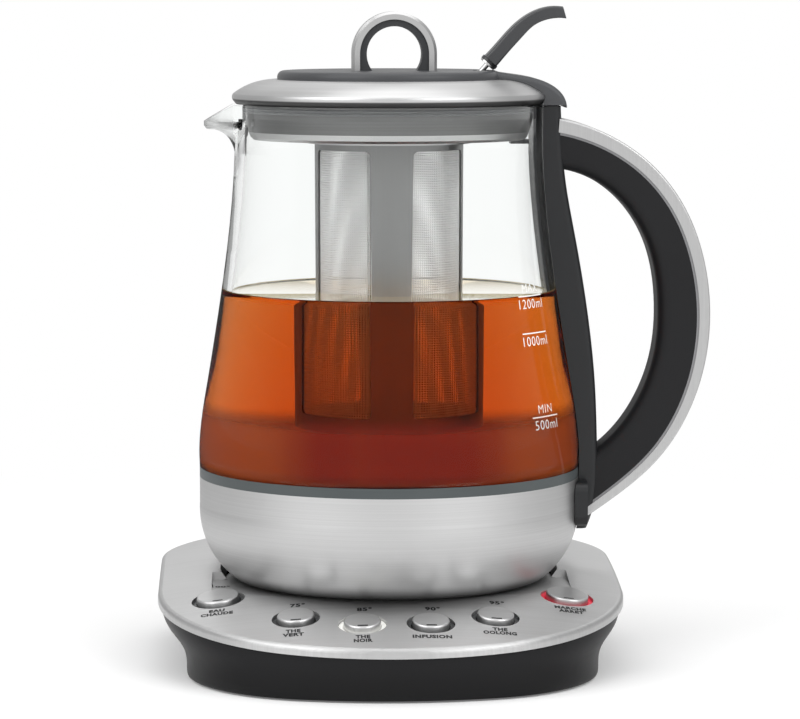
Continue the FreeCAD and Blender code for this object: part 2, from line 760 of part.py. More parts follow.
def jug_envelope(off):
    """Outer form of bowl, seam and glass together, grown by off."""
    side = [(bowlRadius + off, bowlTop)] + [(r + off, z) for r, z in glassShape] + [(neckRadius + off, neckStart)]
    outer = bowl_profile(-off)
    low = [outer[0], outer[1], outer[2], outer[3]]
    top = (neckRadius + off, glassTop + 20)
    return turned(low + [curve(side), line(side[-1], top), line(top, (0, glassTop + 20)),
                         line((0, glassTop + 20), (0, bowlFloor - off))])


def toward(point, distance):
    """Shift a handle point towards the middle of the hand hole."""
    away = math.hypot(point[0] - handCentre[0], point[1] - handCentre[1])
    k = distance / away
    return (point[0] + (handCentre[0] - point[0]) * k, point[1] + (handCentre[1] - point[1]) * k)


def handle_line(extra):
    """The handle's back, moved in by the band's thickness, which tapers down its length, and extra."""
    last = len(handleBack) - 1
    if extra is None:
        return handleBack
    return [toward(p, bandTop + (bandEnd - bandTop) * i / last + extra) for i, p in enumerate(handleBack)]


def between(outer, inner):
    """Closed profile between two curves of the handle."""
    return [curve(outer), line(outer[-1], inner[-1]), curve(inner), line(inner[0], outer[0])]


def spine_solid():
    back = [(55.0, spineTop), spineBack[0]]
    edges = [line(*back), curve(spineBack), line(spineBack[-1], (55.0, spineBottom)),
             line((55.0, spineBottom), (55.0, spineTop))]
    spine = pressed(edges, spineHalfWidth)
    spine = round_edges(spine, 2.5, lambda e: e.Length > 100 and e.BoundBox.XMax > 70)
    foot = box(55, bowlRadius + 2.3, -footHalfWidth, footHalfWidth, spineBottom + 2, footTop)
    foot = round_edges(foot, 5.0, lambda e: abs(e.tangentAt(e.FirstParameter).x) > 0.9)
    return spine.fuse(foot)


def make_handle_spine():
    spine = spine_solid().cut(jug_envelope(spineGap)).cut(cylinder(60.0, 0, 300))
    spine = spine.cut(cylinder(domeRadius + 0.5, glassTop - 0.8, 300))
    for y, z in handle_screw_places():
        spine = spine.cut(Part.makeCylinder(screwShank, 5.5, Vector(bowlRadius - 4.9, y, z), RIGHT))
    return spine


def make_handle_screws():
    screws = []
    for y, z in handle_screw_places():
        inside = math.sqrt((bowlRadius - bowlWall) ** 2 - (abs(y) + screwHead) ** 2) - 0.1
        head = Part.makeCylinder(screwHead, 1.4, Vector(inside - 1.4, y, z), RIGHT)
        shank = Part.makeCylinder(screwShank - 0.05, bowlRadius + 0.5 - inside, Vector(inside, y, z), RIGHT)
        screws.append(head.fuse(shank))
    return Part.makeCompound(screws)


def handle_layer(outer, inner, halfWidth, rounding=0.0):
    layer = pressed(between(outer, inner), halfWidth)
    if rounding > 0:
        layer = round_edges(layer, rounding, lambda e: e.Length > 60 and e.BoundBox.XMax > handleReach - 0.7)
    return layer.cut(spine_solid()).cut(cylinder(66.5, 0, 300))


def largest(shape):
    return max(shape.Solids, key=lambda s: s.Volume)


def make_handle_band():
    return largest(handle_layer(handle_line(None), handle_line(0.0), bandHalfWidth, bandRounding))


def make_handle_trim():
    return largest(handle_layer(handle_line(0.0), handle_line(trimThickness), bandHalfWidth - 0.6))


def make_handle_grip():
    grip = largest(handle_layer(handle_line(trimThickness), handHole, gripHalfWidth))
    inner = lambda e: e.Length > 60 and 100 < e.BoundBox.XMax < 112
    return round_edges(grip, gripRounding, inner)


# ------------------------------------------------------------------------- lid
def dome_profile(off, reach):
    """Section of the lid's steel dome, in by off, closed down to reach."""
    top, side = domeTop - off, domeRadius - off
    flatEnd = (domeFlat, top)
    edges = [line((0, top), flatEnd),
             arc(flatEnd, (56.2 - 0.5 * off, top - 1.8 + 0.1 * off), (side - 0.4, domeSide + 1.2)),
             arc((side - 0.4, domeSide + 1.2), (side, domeSide), (side - 0.5, domeRim + 1.3)),
             line((side - 0.5, domeRim + 1.3), (side - 1.6, reach)),
             line((side - 1.6, reach), (0, reach)), line((0, reach), (0, top))]
    return edges


def lever_slot(low, high, x0, x1, halfWidth):
    return box(x0, x1, -halfWidth, halfWidth, low, high)


def lid_screw_places():
    return [(40 * math.cos(math.radians(a)), 40 * math.sin(math.radians(a))) for a in (75, 180, 285)]


def make_lid_dome():
    dome = turned(dome_profile(0, domeRim)).cut(turned(dome_profile(domeWall, domeRim - 1)))
    dome = dome.fuse(tube(domeRadius - 1.6, plugRadius + 0.7, domeRim, domeRim + domeWall))
    dome = dome.cut(lever_slot(domeTop - 3, domeTop + 3, pivotX - 2.6, pivotX + 2.2, latchHalfWidth + 0.5))
    for x, y in lid_screw_places():
        dome = dome.cut(cylinder(screwShank + 0.2, domeTop - 5, domeTop + 5, x, y))
    return dome


def make_top_plate():
    """Dark disc on the dome, with the arm that reaches down to the handle."""
    low, high = topPlateLow, topPlateTop
    disc = cylinder(topPlateRadius, low, high)
    disc = round_edges(disc, topPlateRounding, lambda e: e.CenterOfMass.z > high - 0.01)
    tip = spineTop - 0.6
    edges = [line((30, high - 0.2), (42.0, high - 0.25)),
             curve([(42.0, high - 0.25), (55.1, high - 2.3), (64.0, high - 5.2), (68.8, high - 9.0),
                    (armTip, tip)]),
             line((armTip, tip), (30, tip)), line((30, tip), (30, high - 0.2))]
    arm = pressed(edges, armHalfWidth)
    arm = round_edges(arm, 2.0, lambda e: e.Length > 30 and e.BoundBox.XMax > armTip - 1 and e.BoundBox.ZMax > high - 2)
    arm = arm.cut(turned(dome_profile(-0.1, domeRim - 20)))
    spineReach = max(x for x, z in spineBack[:3])
    arm = arm.cut(box(0, spineReach + 0.2, -30, 30, tip - 1, spineTop + 0.4))
    plate = disc.fuse(largest(arm))
    plate = plate.cut(lever_slot(low - 1, high + 1, pivotX - 2.2, pivotX + 4.2, leverHubHalf + 0.3))
    plate = plate.cut(lever_slot(high - 1.0, high + 9, pivotX - 2.2, pivotX + 8.4, flangeRadius + 0.6))
    plate = plate.cut(Part.makeCylinder(leverPin, 2 * leverPinHalf, Vector(pivotX, -leverPinHalf, pivotZ), BACK))
    for x, y in lid_screw_places():
        plate = plate.cut(cylinder(screwShank, low - 1, high - 1.2, x, y))
    return plate


def make_lid_plug():
    """Dark collar that fits down the neck, hung from the dome by three screws."""
    out, low = plugRadius, plugBottom
    waist = low + 5.5
    wall = turned_points([(out - plugWall, plugTop), (out, plugTop), (out, waist), (out - plugTaper, low),
                          (out - plugTaper - plugWall, low), (out - plugWall, waist)])
    plug = wall.fuse(cylinder(out, plugTop - 2.2, plugTop))
    plug = plug.cut(tube(out + 1, out - 1.0, plugTop - 3.4, plugTop - 0.9))
    plug = plug.cut(lever_slot(plugTop - 5, plugTop + 5, pivotX - 4.2, pivotX + 1.8, latchHalfWidth + 0.8))
    for x, y in lid_screw_places():
        plug = plug.fuse(cylinder(4.0, plugTop, domeTop - domeWall - 0.05, x, y))
        plug = plug.cut(cylinder(screwShank + 0.2, plugTop - 4, domeTop, x, y))
    return plug


def make_plug_lip():
    """Lighter lower ring of the collar, which holds the infuser's bayonet."""
    out, high, low = plugRadius - plugTaper, plugBottom, plugBottom - plugLip
    wall = turned_points([(out - plugWall, high), (out, high), (out - 0.9, low + 1.0), (out - 1.9, low),
                          (out - plugWall - 2.0, low)])
    floor = cylinder(out - plugWall, low, low + lidLipWall)
    ring = wall.fuse(floor).cut(cylinder(bayonetHole, low - 1, high + 1))
    for k in range(3):
        ring = ring.cut(bayonet_lug(120 * k + bayonetTurn, bayonetLug + 0.8, low - 1, low + 3, 14.0))
    return ring.cut(lever_slot(low - 1, low + 3, latchReach - 6.0, latchReach + 2.0, latchHalfWidth + 0.8))


def bayonet_lug(angle, radius, low, high, halfAngle):
    """Sector of a ring about the infuser's axis."""
    ring = tube(radius, bayonetHole - 2.0, low, high)
    a, b = math.radians(angle - halfAngle), math.radians(angle + halfAngle)
    far = 90.0
    wedge = Part.Face(Part.makePolygon([ORIGIN, Vector(far * math.cos(a), far * math.sin(a), 0),
                                        Vector(far * math.cos(b), far * math.sin(b), 0), ORIGIN]))
    return ring.common(wedge.extrude(UP * 300))


def make_lid_seal():
    """Silicone seal with two lips, in the groove of the collar."""
    r = plugRadius - 0.95
    low, high = plugTop - 3.35, plugTop - 0.95
    return turned_points([(r, low), (sealRadius - 0.4, low), (sealRadius, low + 0.5), (sealRadius - 0.3, low + 0.9),
                          (r + 0.6, low + 1.0), (r + 0.6, high - 1.0), (sealRadius - 0.3, high - 0.9),
                          (sealRadius, high - 0.5), (sealRadius - 0.4, high), (r, high)])


def loop_profile(radius):
    """Upright arch: half a circle on straight sides that end on the top plate."""
    low, left, right = topPlateTop, loopX - radius, loopX + radius
    return [line((left, low), (left, loopCentre)),
            arc((left, loopCentre), (loopX, loopCentre + radius), (right, loopCentre)),
            line((right, loopCentre), (right, low)), line((right, low), (left, low))]


def make_loop_arch():
    arch = pressed(loop_profile(loopRadius), loopHalfDepth)
    arch = arch.makeChamfer(1.1, [e for e in arch.Edges if e.Length > 50 and e.CenterOfMass.z > loopCentre])
    return arch.cut(pressed(loop_profile(loopRadius - loopBand), loopHalfDepth + 1))


def make_loop_liner():
    liner = pressed(loop_profile(loopRadius - loopBand), loopHalfDepth - 0.8)
    hole = Part.makeCylinder(loopHole, 40, Vector(loopX, -20, loopCentre), BACK)
    liner = liner.cut(hole)
    return Part.makeCompound(liner.Solids)


def make_lid_screws():
    screws = []
    for x, y in lid_screw_places():
        under = plugTop - 2.2
        head = cylinder(screwHead, under - 1.6, under, x, y)
        screws.append(head.fuse(cylinder(screwShank - 0.05, under, topPlateTop - 1.6, x, y)))
    return Part.makeCompound(screws)


def make_lever_pin():
    return Part.makeCylinder(leverPin, 2 * leverPinHalf, Vector(pivotX, -leverPinHalf, pivotZ), BACK)


# -------------------------------------------------------------------- lid lever
rodDirection = Vector(0.67, 0, 0.742).normalize()


def rod_point(distance):
    return Vector(pivotX, 0, pivotZ) + rodDirection * distance


def make_lever_rod():
    hub = Part.makeCylinder(leverHub, 2 * leverHubHalf, Vector(pivotX, -leverHubHalf, pivotZ), BACK)
    rod = Part.makeCylinder(leverRod, 12.0, Vector(pivotX, 0, pivotZ), rodDirection)
    bore = Part.makeCylinder(leverPin + pinRunning, 20, Vector(pivotX, -10, pivotZ), BACK)
    return hub.fuse(rod).cut(bore)


def make_lever_washer():
    return Part.makeCylinder(washerRadius, 0.7, rod_point(5.2), rodDirection).cut(make_lever_rod())


def make_lid_lever():
    """Thumb paddle: up at the rod's angle, then bent over to level."""
    start = rod_point(7.2)
    side = Vector(-rodDirection.z, 0, rodDirection.x)
    upper = start + side * 3.0
    lower = start - side * 3.0
    at = lambda points: [(pivotX + x, pivotZ + z) for x, z in points]
    top = [(upper.x, upper.z)] + at([(9.6, 15.0), (15.0, 20.6), (21.0, 24.8), (28.0, 27.2), (33.6, 27.2)])
    bottom = [(lower.x, lower.z)] + at([(12.4, 9.6), (17.4, 15.1), (22.2, 19.7), (28.0, 22.1), (35.0, 22.4)])
    edges = [curve(top), line(top[-1], bottom[-1]), curve(bottom), line(bottom[0], top[0])]
    paddle = pressed(edges, leverHalfWidth)
    paddle = round_edges(paddle, 1.2, lambda e: e.Length > 20)
    flange = Part.makeCylinder(flangeRadius, 1.5, rod_point(5.9), rodDirection)
    return paddle.fuse(flange).cut(make_lever_rod())


def make_lid_latch():
    """Strip from the hub down through the collar to the toe below it."""
    t, x1 = latchThickness, latchReach
    out = [(pivotX - t / 2, pivotZ - leverHub + 0.5), (pivotX + t / 2, pivotZ - leverHub + 0.5),
           (pivotX + t / 2, latchTop), (x1 + t / 2, latchTop), (x1 + t / 2, latchToe),
           (x1 - t / 2, latchToe), (x1 - t / 2, latchTop - t), (pivotX - t / 2, latchTop - t)]
    latch = pressed(polyline(out + out[:1]), latchHalfWidth)
    toe = box(x1 - t / 2 - 1.0, x1 + 5.6, -toeHalfWidth, toeHalfWidth, latchToe, latchToe + t - 0.2)
    hub = Part.makeCylinder(leverHub, 20, Vector(pivotX, -10, pivotZ), BACK)
    return latch.fuse(toe).cut(hub)


# --------------------------------------------------------------------- infuser
def make_infuser_ring():
    lipFloor = plugBottom - plugLip
    lugLow = lipFloor + lidLipWall + 0.15
    outer = bayonetHole - bayonetPlay
    inner = infuserRadius - infuserWall - 1.2
    ring = tube(outer, inner, infuserTop, lugLow + 3.4)
    collar = tube(bayonetLug, inner, lipFloor - 1.6, lipFloor - 0.2)
    for k in range(3):
        ring = ring.fuse(bayonet_lug(120 * k, bayonetLug, lugLow, lugLow + 2.0, 12.0))
    return ring.fuse(collar)


def make_infuser_frame():
    """Cage of four strips between two rims, tapering a little to its foot."""
    foot = infuserRadius - 0.6
    shell = turned_points([(foot, infuserBottom), (infuserRadius, infuserTop),
                           (infuserRadius - infuserWall, infuserTop), (foot - infuserWall, infuserBottom)])
    for k in range(4):
        half = [(-windowHalfBottom, windowBottom), (windowHalfBottom, windowBottom),
                (windowHalfTop, windowTop), (-windowHalfTop, windowTop)]
        window = face_of(polyline(half + half[:1])).extrude(BACK * 50)
        window = round_edges(window, 2.0, lambda e: abs(e.tangentAt(e.FirstParameter).y) > 0.9)
        window.rotate(ORIGIN, UP, 45 + 90 * k)
        shell = shell.cut(window)
    return shell


def make_infuser_mesh():
    """Fine mesh liner inside the cage."""
    low, high = infuserBottom + 1.6, infuserTop - 0.5
    foot, top = infuserRadius - 0.6 - infuserWall - meshGap, infuserRadius - infuserWall - meshGap
    return turned_points([(foot, low), (top, high), (top - meshThickness, high), (foot - meshThickness, low)])


def make_infuser_floor():
    reach = infuserRadius - 0.6 - infuserWall - 0.05
    floor = cylinder(reach, infuserBottom + 0.1, infuserBottom + 1.2)
    return floor.fuse(tube(reach, reach - 1.0, infuserBottom + 1.2, infuserBottom + 1.5))


# ------------------------------------------------------------------- write all
save("base_plate", make_base_plate())
save("base_housing", make_base_housing())
save("base_floor", make_base_floor())
save("base_foot_ring", make_foot_ring())
save("base_screws", make_base_screws())
save("connector_socket", make_connector_socket())
save("socket_contacts", make_socket_contacts())
save("control_board", make_control_board())
save("button_switches", make_switches())
save("power_board", make_power_board())
save("relay", make_relay())
save("capacitors", make_capacitors())
save("cord_outlet", make_cord_outlet())
for button in buttonAngles:
    save(f"{button}_button", make_button(button))
    save(f"{button}_light_ring", make_light_ring(button))

save("glass_jug", make_glass_jug())
save("seam_ring", make_seam_ring())
save("steel_bowl", make_steel_bowl())
save("jug_gasket", make_jug_gasket())
save("heating_plate", make_heating_plate())
save("heating_element", make_heating_element())
save("temperature_sensor", make_temperature_sensor())
save("heater_bracket", make_heater_bracket())
save("thermal_control", make_thermal_control())
save("bowl_cover", make_bowl_cover())
save("cover_screws", make_cover_screws())
save("jug_connector", make_jug_connector())
save("handle_spine", make_handle_spine())
save("handle_screws", make_handle_screws())
save("handle_band", make_handle_band())
save("handle_trim", make_handle_trim())
save("handle_grip", make_handle_grip())

save("lid_dome", make_lid_dome())
save("lid_top_plate", make_top_plate())
save("lid_plug", make_lid_plug())
save("plug_lip", make_plug_lip())
save("lid_seal", make_lid_seal())
save("loop_arch", make_loop_arch())
save("loop_liner", make_loop_liner())
save("lid_screws", make_lid_screws())
save("lever_pin", make_lever_pin())
save("lid_lever", make_lid_lever())
save("lever_rod", make_lever_rod())
save("lever_washer", make_lever_washer())
save("lid_latch", make_lid_latch())

save("infuser_ring", make_infuser_ring())
save("infuser_frame", make_infuser_frame())
save("infuser_mesh", make_infuser_mesh())
save("infuser_floor", make_infuser_floor())
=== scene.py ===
import math

import bmesh
import bpy
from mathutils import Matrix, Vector
from mathutils.bvhtree import BVHTree


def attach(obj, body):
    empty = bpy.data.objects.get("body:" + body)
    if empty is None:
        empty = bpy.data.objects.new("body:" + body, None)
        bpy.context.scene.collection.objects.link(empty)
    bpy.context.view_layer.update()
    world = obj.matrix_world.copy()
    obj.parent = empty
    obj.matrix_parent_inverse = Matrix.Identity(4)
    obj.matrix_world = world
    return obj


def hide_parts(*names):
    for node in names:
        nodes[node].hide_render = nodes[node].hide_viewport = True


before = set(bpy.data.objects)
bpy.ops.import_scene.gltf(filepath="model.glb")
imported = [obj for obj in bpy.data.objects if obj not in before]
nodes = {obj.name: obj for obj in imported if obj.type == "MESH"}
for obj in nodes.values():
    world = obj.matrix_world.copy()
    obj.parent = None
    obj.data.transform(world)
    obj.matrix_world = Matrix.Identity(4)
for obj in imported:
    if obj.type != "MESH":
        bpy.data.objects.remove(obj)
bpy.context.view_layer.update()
mm = 0.001


# shared helpers
def tree(owner):
    owner.use_nodes = True
    owner.node_tree.nodes.clear()
    return owner.node_tree


def add(nodeTree, kind, **settings):
    # one node; settings are its properties, and values for its inputs by name
    made = nodeTree.nodes.new(kind)
    for key, value in settings.items():
        if hasattr(made, key) and not isinstance(value, dict):
            setattr(made, key, value)
    for key, value in settings.get("values", {}).items():
        made.inputs[key].default_value = value
    return made


def link(nodeTree, source, target):
    nodeTree.links.new(source, target)


def shaderGroup(name, inputs, outputs):
    group = bpy.data.node_groups.new(name, "ShaderNodeTree")
    for label, kind, value in inputs:
        socket = group.interface.new_socket(name=label, in_out="INPUT", socket_type=kind)
        if value is not None:
            socket.default_value = value
    for label, kind in outputs:
        group.interface.new_socket(name=label, in_out="OUTPUT", socket_type=kind)
    return group, group.nodes.new("NodeGroupInput"), group.nodes.new("NodeGroupOutput")


def maths(nodeTree, operation, a, b=None):
    node = add(nodeTree, "ShaderNodeMath", operation=operation)
    for index, value in enumerate((a, b)):
        if value is None:
            continue
        if isinstance(value, (int, float)):
            node.inputs[index].default_value = value
        else:
            link(nodeTree, value, node.inputs[index])
    return node.outputs[0]


def mixedColour(nodeTree, share, first, second):
    # the colour that is a share of the way from the first to the second; the first may be a socket
    firstInput, secondInput, result = 6, 7, 2
    mix = add(nodeTree, "ShaderNodeMix", data_type="RGBA")
    link(nodeTree, share, mix.inputs[0])
    if isinstance(first, tuple):
        mix.inputs[firstInput].default_value = first
    else:
        link(nodeTree, first, mix.inputs[firstInput])
    mix.inputs[secondInput].default_value = second
    return mix.outputs[result]


def grey(value):
    return (value, value, value, 1)


def srgb(r, g, b):
    # a colour as seen on screen, 0 to 255, as the linear colour that nodes use
    def linear(c):
        c /= 255
        return c / 12.92 if c <= 0.04045 else ((c + 0.055) / 1.055) ** 2.4
    return (linear(r), linear(g), linear(b), 1)


def inMetres(lengths):
    return [length * mm for length in lengths]


def sceneObject(name, data):
    made = bpy.data.objects.new(name, data)
    bpy.context.scene.collection.objects.link(made)
    return made


def evaluated(source, name):
    # the finished mesh of an object, as a new object
    bpy.context.view_layer.update()
    graph = bpy.context.evaluated_depsgraph_get()
    mesh = bpy.data.meshes.new_from_object(source.evaluated_get(graph))
    made = sceneObject(name, mesh)
    bpy.data.objects.remove(source)
    return made


# camera: metres, degrees, and millimetres for lens and sensor
camera = {"distance": 1.469, "height": 0.270, "pitch": 5.759, "turn": 2.1, "aim": 0.173, "lens": 163.8,
          "sensor": 36, "farthest": 30}
turn = math.radians(camera["turn"])
cameraData = bpy.data.cameras.new("camera")
cameraData.lens = camera["lens"]
cameraData.sensor_width = camera["sensor"]
cameraData.clip_end = camera["farthest"]
cameraObject = sceneObject("camera", cameraData)
cameraObject.location = (-camera["distance"] * math.sin(turn), -camera["distance"] * math.cos(turn),
                         camera["height"])
cameraObject.rotation_euler = (math.radians(90 - camera["pitch"]), 0,
                               -math.radians(camera["turn"] + camera["aim"]))
bpy.context.scene.camera = cameraObject
bpy.context.scene.view_settings.view_transform = "Standard"

# paper floor: lengths in metres; tones of the far paper in front and at the sides; frontSharp is what sharp
# mirrors see of the front, sidesHeld the share that they miss of the rest
stage = {"floorSize": 9.0, "floorTone": 0.80, "floorLift": 0.14, "floorDrop": 0.00005, "centre": 0.01,
         "nearEnd": 0.22, "farStart": 0.60, "front": 0.97, "frontSharp": 0.04, "sides": 0.50, "sidesHeld": 0.85,
         "frontAt": -0.60, "sidesAt": 0.10}


def ranged(nt, value, low, high, start=0.0, end=1.0):
    # a value taken smoothly from one range to another
    node = add(nt, "ShaderNodeMapRange", interpolation_type="SMOOTHSTEP")
    link(nt, value, node.inputs["Value"])
    for name, number in (("From Min", low), ("From Max", high), ("To Min", start), ("To Max", end)):
        node.inputs[name].default_value = number
    return node.outputs[0]


def atMost(nt, seen, kind, count):
    # 1 for rays that have met no more than so many faces of a kind, Transmission or Glossy
    return maths(nt, "LESS_THAN", seen.outputs[kind + " Depth"], count + 0.5)


def moreThan(nt, seen, kind, count):
    return maths(nt, "GREATER_THAN", seen.outputs[kind + " Depth"], count + 0.5)


# white for the camera and for what is seen straight through the glass; sharp mirrors see the room darker, by the
# share that darkened gives
def roomTone(nt, seen, front, towardsFront, elsewhere, darkened=1.0):
    sharp = maths(nt, "MULTIPLY", seen.outputs["Is Singular Ray"], atMost(nt, seen, "Transmission", 2))
    sharp = maths(nt, "MULTIPLY", sharp, atMost(nt, seen, "Glossy", 1))
    held = maths(nt, "MULTIPLY", sharp, darkened)
    outer = maths(nt, "MULTIPLY", held, atMost(nt, seen, "Transmission", 1))
    keep = maths(nt, "SUBTRACT", 1.0, maths(nt, "MULTIPLY", held, 1.0 - stage["frontSharp"] / front))
    ahead = maths(nt, "MULTIPLY", maths(nt, "MULTIPLY", keep, front), towardsFront)
    rest = maths(nt, "MULTIPLY", maths(nt, "SUBTRACT", 1.0, towardsFront), elsewhere)
    left = maths(nt, "SUBTRACT", 1.0, maths(nt, "MULTIPLY", outer, stage["sidesHeld"]))
    through = maths(nt, "MULTIPLY", seen.outputs["Is Transmission Ray"], atMost(nt, seen, "Glossy", 0))
    white = maths(nt, "MAXIMUM", seen.outputs["Is Camera Ray"], through)
    return maths(nt, "MAXIMUM", maths(nt, "ADD", ahead, maths(nt, "MULTIPLY", rest, left)), white)


def makeFloor():
    bm = bmesh.new()
    bmesh.ops.create_grid(bm, x_segments=1, y_segments=1, size=stage["floorSize"] / 2)
    mesh = bpy.data.meshes.new("floor")
    bm.to_mesh(mesh)
    bm.free()
    floor = sceneObject("floor", mesh)
    paint = bpy.data.materials.new("paperFloor")
    nt = tree(paint)
    diffuse = add(nt, "ShaderNodeBsdfDiffuse", values={"Color": grey(stage["floorTone"])})
    seen = add(nt, "ShaderNodeLightPath")
    ray = maths(nt, "MAXIMUM", seen.outputs["Is Camera Ray"],
                maths(nt, "MAXIMUM", seen.outputs["Is Glossy Ray"], seen.outputs["Is Transmission Ray"]))
    glow = add(nt, "ShaderNodeEmission")
    link(nt, maths(nt, "MULTIPLY", ray, stage["floorLift"]), glow.inputs["Strength"])
    near = add(nt, "ShaderNodeAddShader")
    link(nt, diffuse.outputs[0], near.inputs[0])
    link(nt, glow.outputs[0], near.inputs[1])
    # far from the part the paper is plain white, so that no horizon shows
    coords = add(nt, "ShaderNodeTexCoord").outputs["Object"]
    away = add(nt, "ShaderNodeVectorMath", operation="LENGTH")
    link(nt, coords, away.inputs[0])
    far = ranged(nt, away.outputs["Value"], stage["nearEnd"], stage["farStart"])
    split = add(nt, "ShaderNodeSeparateXYZ")
    link(nt, coords, split.inputs[0])
    distance = maths(nt, "MAXIMUM", away.outputs["Value"], stage["centre"])
    ahead = ranged(nt, maths(nt, "DIVIDE", split.outputs["Y"], distance), stage["sidesAt"], stage["frontAt"])
    paper = add(nt, "ShaderNodeEmission")
    link(nt, roomTone(nt, seen, stage["front"], ahead, stage["sides"]), paper.inputs["Strength"])
    blend = add(nt, "ShaderNodeMixShader")
    link(nt, maths(nt, "MULTIPLY", far, ray), blend.inputs[0])
    link(nt, near.outputs[0], blend.inputs[1])
    link(nt, paper.outputs[0], blend.inputs[2])
    link(nt, blend.outputs[0], add(nt, "ShaderNodeOutputMaterial").inputs[0])
    floor.data.materials.append(paint)
    floor.location.z = -stage["floorDrop"]


# walls: tones, and the Y and Z of the directions in which each tone starts and ends
room = {"front": 0.88, "back": 0.54, "backLow": 0.98, "sideY": 0.10, "frontY": -0.60,
        "lowFrom": 0.5, "lowTo": 0.15, "ceilingFrom": 0.42, "ceilingTo": 0.28}


def makeWorld():
    world = bpy.data.worlds.new("studio")
    bpy.context.scene.world = world
    nt = tree(world)
    seen = add(nt, "ShaderNodeLightPath")
    around = add(nt, "ShaderNodeTexCoord")
    split = add(nt, "ShaderNodeSeparateXYZ")
    link(nt, around.outputs["Generated"], split.inputs[0])
    ahead = ranged(nt, split.outputs["Y"], room["sideY"], room["frontY"])
    low = ranged(nt, split.outputs["Z"], room["lowFrom"], room["lowTo"])
    belowCeiling = ranged(nt, split.outputs["Z"], room["ceilingFrom"], room["ceilingTo"])
    # low down, the walls are brighter for rays that have been through the glass
    wall = maths(nt, "MULTIPLY", low, moreThan(nt, seen, "Transmission", 0))
    behind = maths(nt, "ADD", room["back"], maths(nt, "MULTIPLY", wall, room["backLow"] - room["back"]))
    sky = add(nt, "ShaderNodeBackground")
    link(nt, roomTone(nt, seen, room["front"], ahead, behind, belowCeiling), sky.inputs["Strength"])
    link(nt, sky.outputs[0], add(nt, "ShaderNodeOutputWorld").inputs[0])
    sky.inputs["Color"].default_value = grey(1.0)


lamps = {
    "keyLeft": {"at": (-1.3, -1.0, 1.5), "size": (1.8, 1.6), "power": 17},
    "keyRight": {"at": (1.2, -1.3, 1.3), "size": (1.4, 1.0), "power": 12},
    "top": {"at": (0.1, 0.1, 1.8), "size": (1.6, 1.6), "power": 11},
    "back": {"at": (0.3, 1.5, 1.4), "size": (2.0, 1.0), "power": 3},
}
lampsTarget = Vector((0, 0, 0.12))


def makeLamps():
    for name, lamp in lamps.items():
        data = bpy.data.lights.new(name, "AREA")
        data.shape = "RECTANGLE"
        data.size, data.size_y = lamp["size"]
        data.energy = lamp["power"]
        lampObject = sceneObject(name, data)
        lampObject.location = lamp["at"]
        aim = lampsTarget - Vector(lamp["at"])
        lampObject.rotation_euler = aim.to_track_quat("-Z", "Y").to_euler()


makeFloor()
makeWorld()
makeLamps()
print("stage ready")


# shader node groups
def brushLinesGroup():
    # fine strokes: long along X of the vector that comes in, short across it
    group, into, out = shaderGroup(
        "brushLines", [("Vector", "NodeSocketVector", None), ("Along", "NodeSocketFloat", 9.0),
                       ("Across", "NodeSocketFloat", 2400.0), ("Contrast", "NodeSocketFloat", 0.5)],
        [("Tone", "NodeSocketFloat"), ("Height", "NodeSocketFloat")])
    split = add(group, "ShaderNodeSeparateXYZ")
    link(group, into.outputs["Vector"], split.inputs[0])
    joined = add(group, "ShaderNodeCombineXYZ")
    link(group, maths(group, "MULTIPLY", split.outputs[0], into.outputs["Along"]), joined.inputs[0])
    link(group, maths(group, "MULTIPLY", split.outputs[1], into.outputs["Along"]), joined.inputs[1])
    link(group, maths(group, "MULTIPLY", split.outputs[2], into.outputs["Across"]), joined.inputs[2])
    noise = add(group, "ShaderNodeTexNoise", values={"Scale": 1.0, "Detail": 4.0, "Roughness": 0.65})
    link(group, joined.outputs[0], noise.inputs["Vector"])
    centred = maths(group, "SUBTRACT", noise.outputs[0], 0.5)
    tone = maths(group, "MULTIPLY", centred, into.outputs["Contrast"])
    link(group, tone, out.inputs["Tone"])
    link(group, noise.outputs[0], out.inputs["Height"])
    return group


def turnedCoordsGroup():
    # coordinates for a turned piece: round it the strokes are long, along its profile they are fine
    group, into, out = shaderGroup("turnedCoords", [("Vector", "NodeSocketVector", None)],
                                   [("Vector", "NodeSocketVector")])
    split = add(group, "ShaderNodeSeparateXYZ")
    link(group, into.outputs["Vector"], split.inputs[0])
    square = maths(group, "ADD", maths(group, "POWER", split.outputs[0], 2.0),
                   maths(group, "POWER", split.outputs[1], 2.0))
    across = maths(group, "ADD", maths(group, "SQRT", square), split.outputs[2])
    joined = add(group, "ShaderNodeCombineXYZ")
    link(group, split.outputs[0], joined.inputs[0])
    link(group, split.outputs[1], joined.inputs[1])
    link(group, across, joined.inputs[2])
    link(group, joined.outputs[0], out.inputs["Vector"])
    return group


def mouldedGrainGroup():
    # skin of a moulded plastic: fine spark-eroded grain with a slow change of sheen
    group, into, out = shaderGroup(
        "mouldedGrain", [("Vector", "NodeSocketVector", None), ("Grain", "NodeSocketFloat", 2200.0)],
        [("Height", "NodeSocketFloat"), ("Sheen", "NodeSocketFloat")])
    fine = add(group, "ShaderNodeTexNoise", values={"Detail": 3.0, "Roughness": 0.7})
    link(group, into.outputs["Vector"], fine.inputs["Vector"])
    link(group, into.outputs["Grain"], fine.inputs["Scale"])
    slow = add(group, "ShaderNodeTexNoise", values={"Scale": 28.0, "Detail": 2.0})
    link(group, into.outputs["Vector"], slow.inputs["Vector"])
    link(group, fine.outputs[0], out.inputs["Height"])
    link(group, maths(group, "SUBTRACT", slow.outputs[0], 0.5), out.inputs["Sheen"])
    return group


brushLines = brushLinesGroup()
turnedCoords = turnedCoordsGroup()
mouldedGrain = mouldedGrainGroup()


def placed(nt, group, **values):
    made = nt.nodes.new("ShaderNodeGroup")
    made.node_tree = group
    for key, value in values.items():
        made.inputs[key].default_value = value
    return made


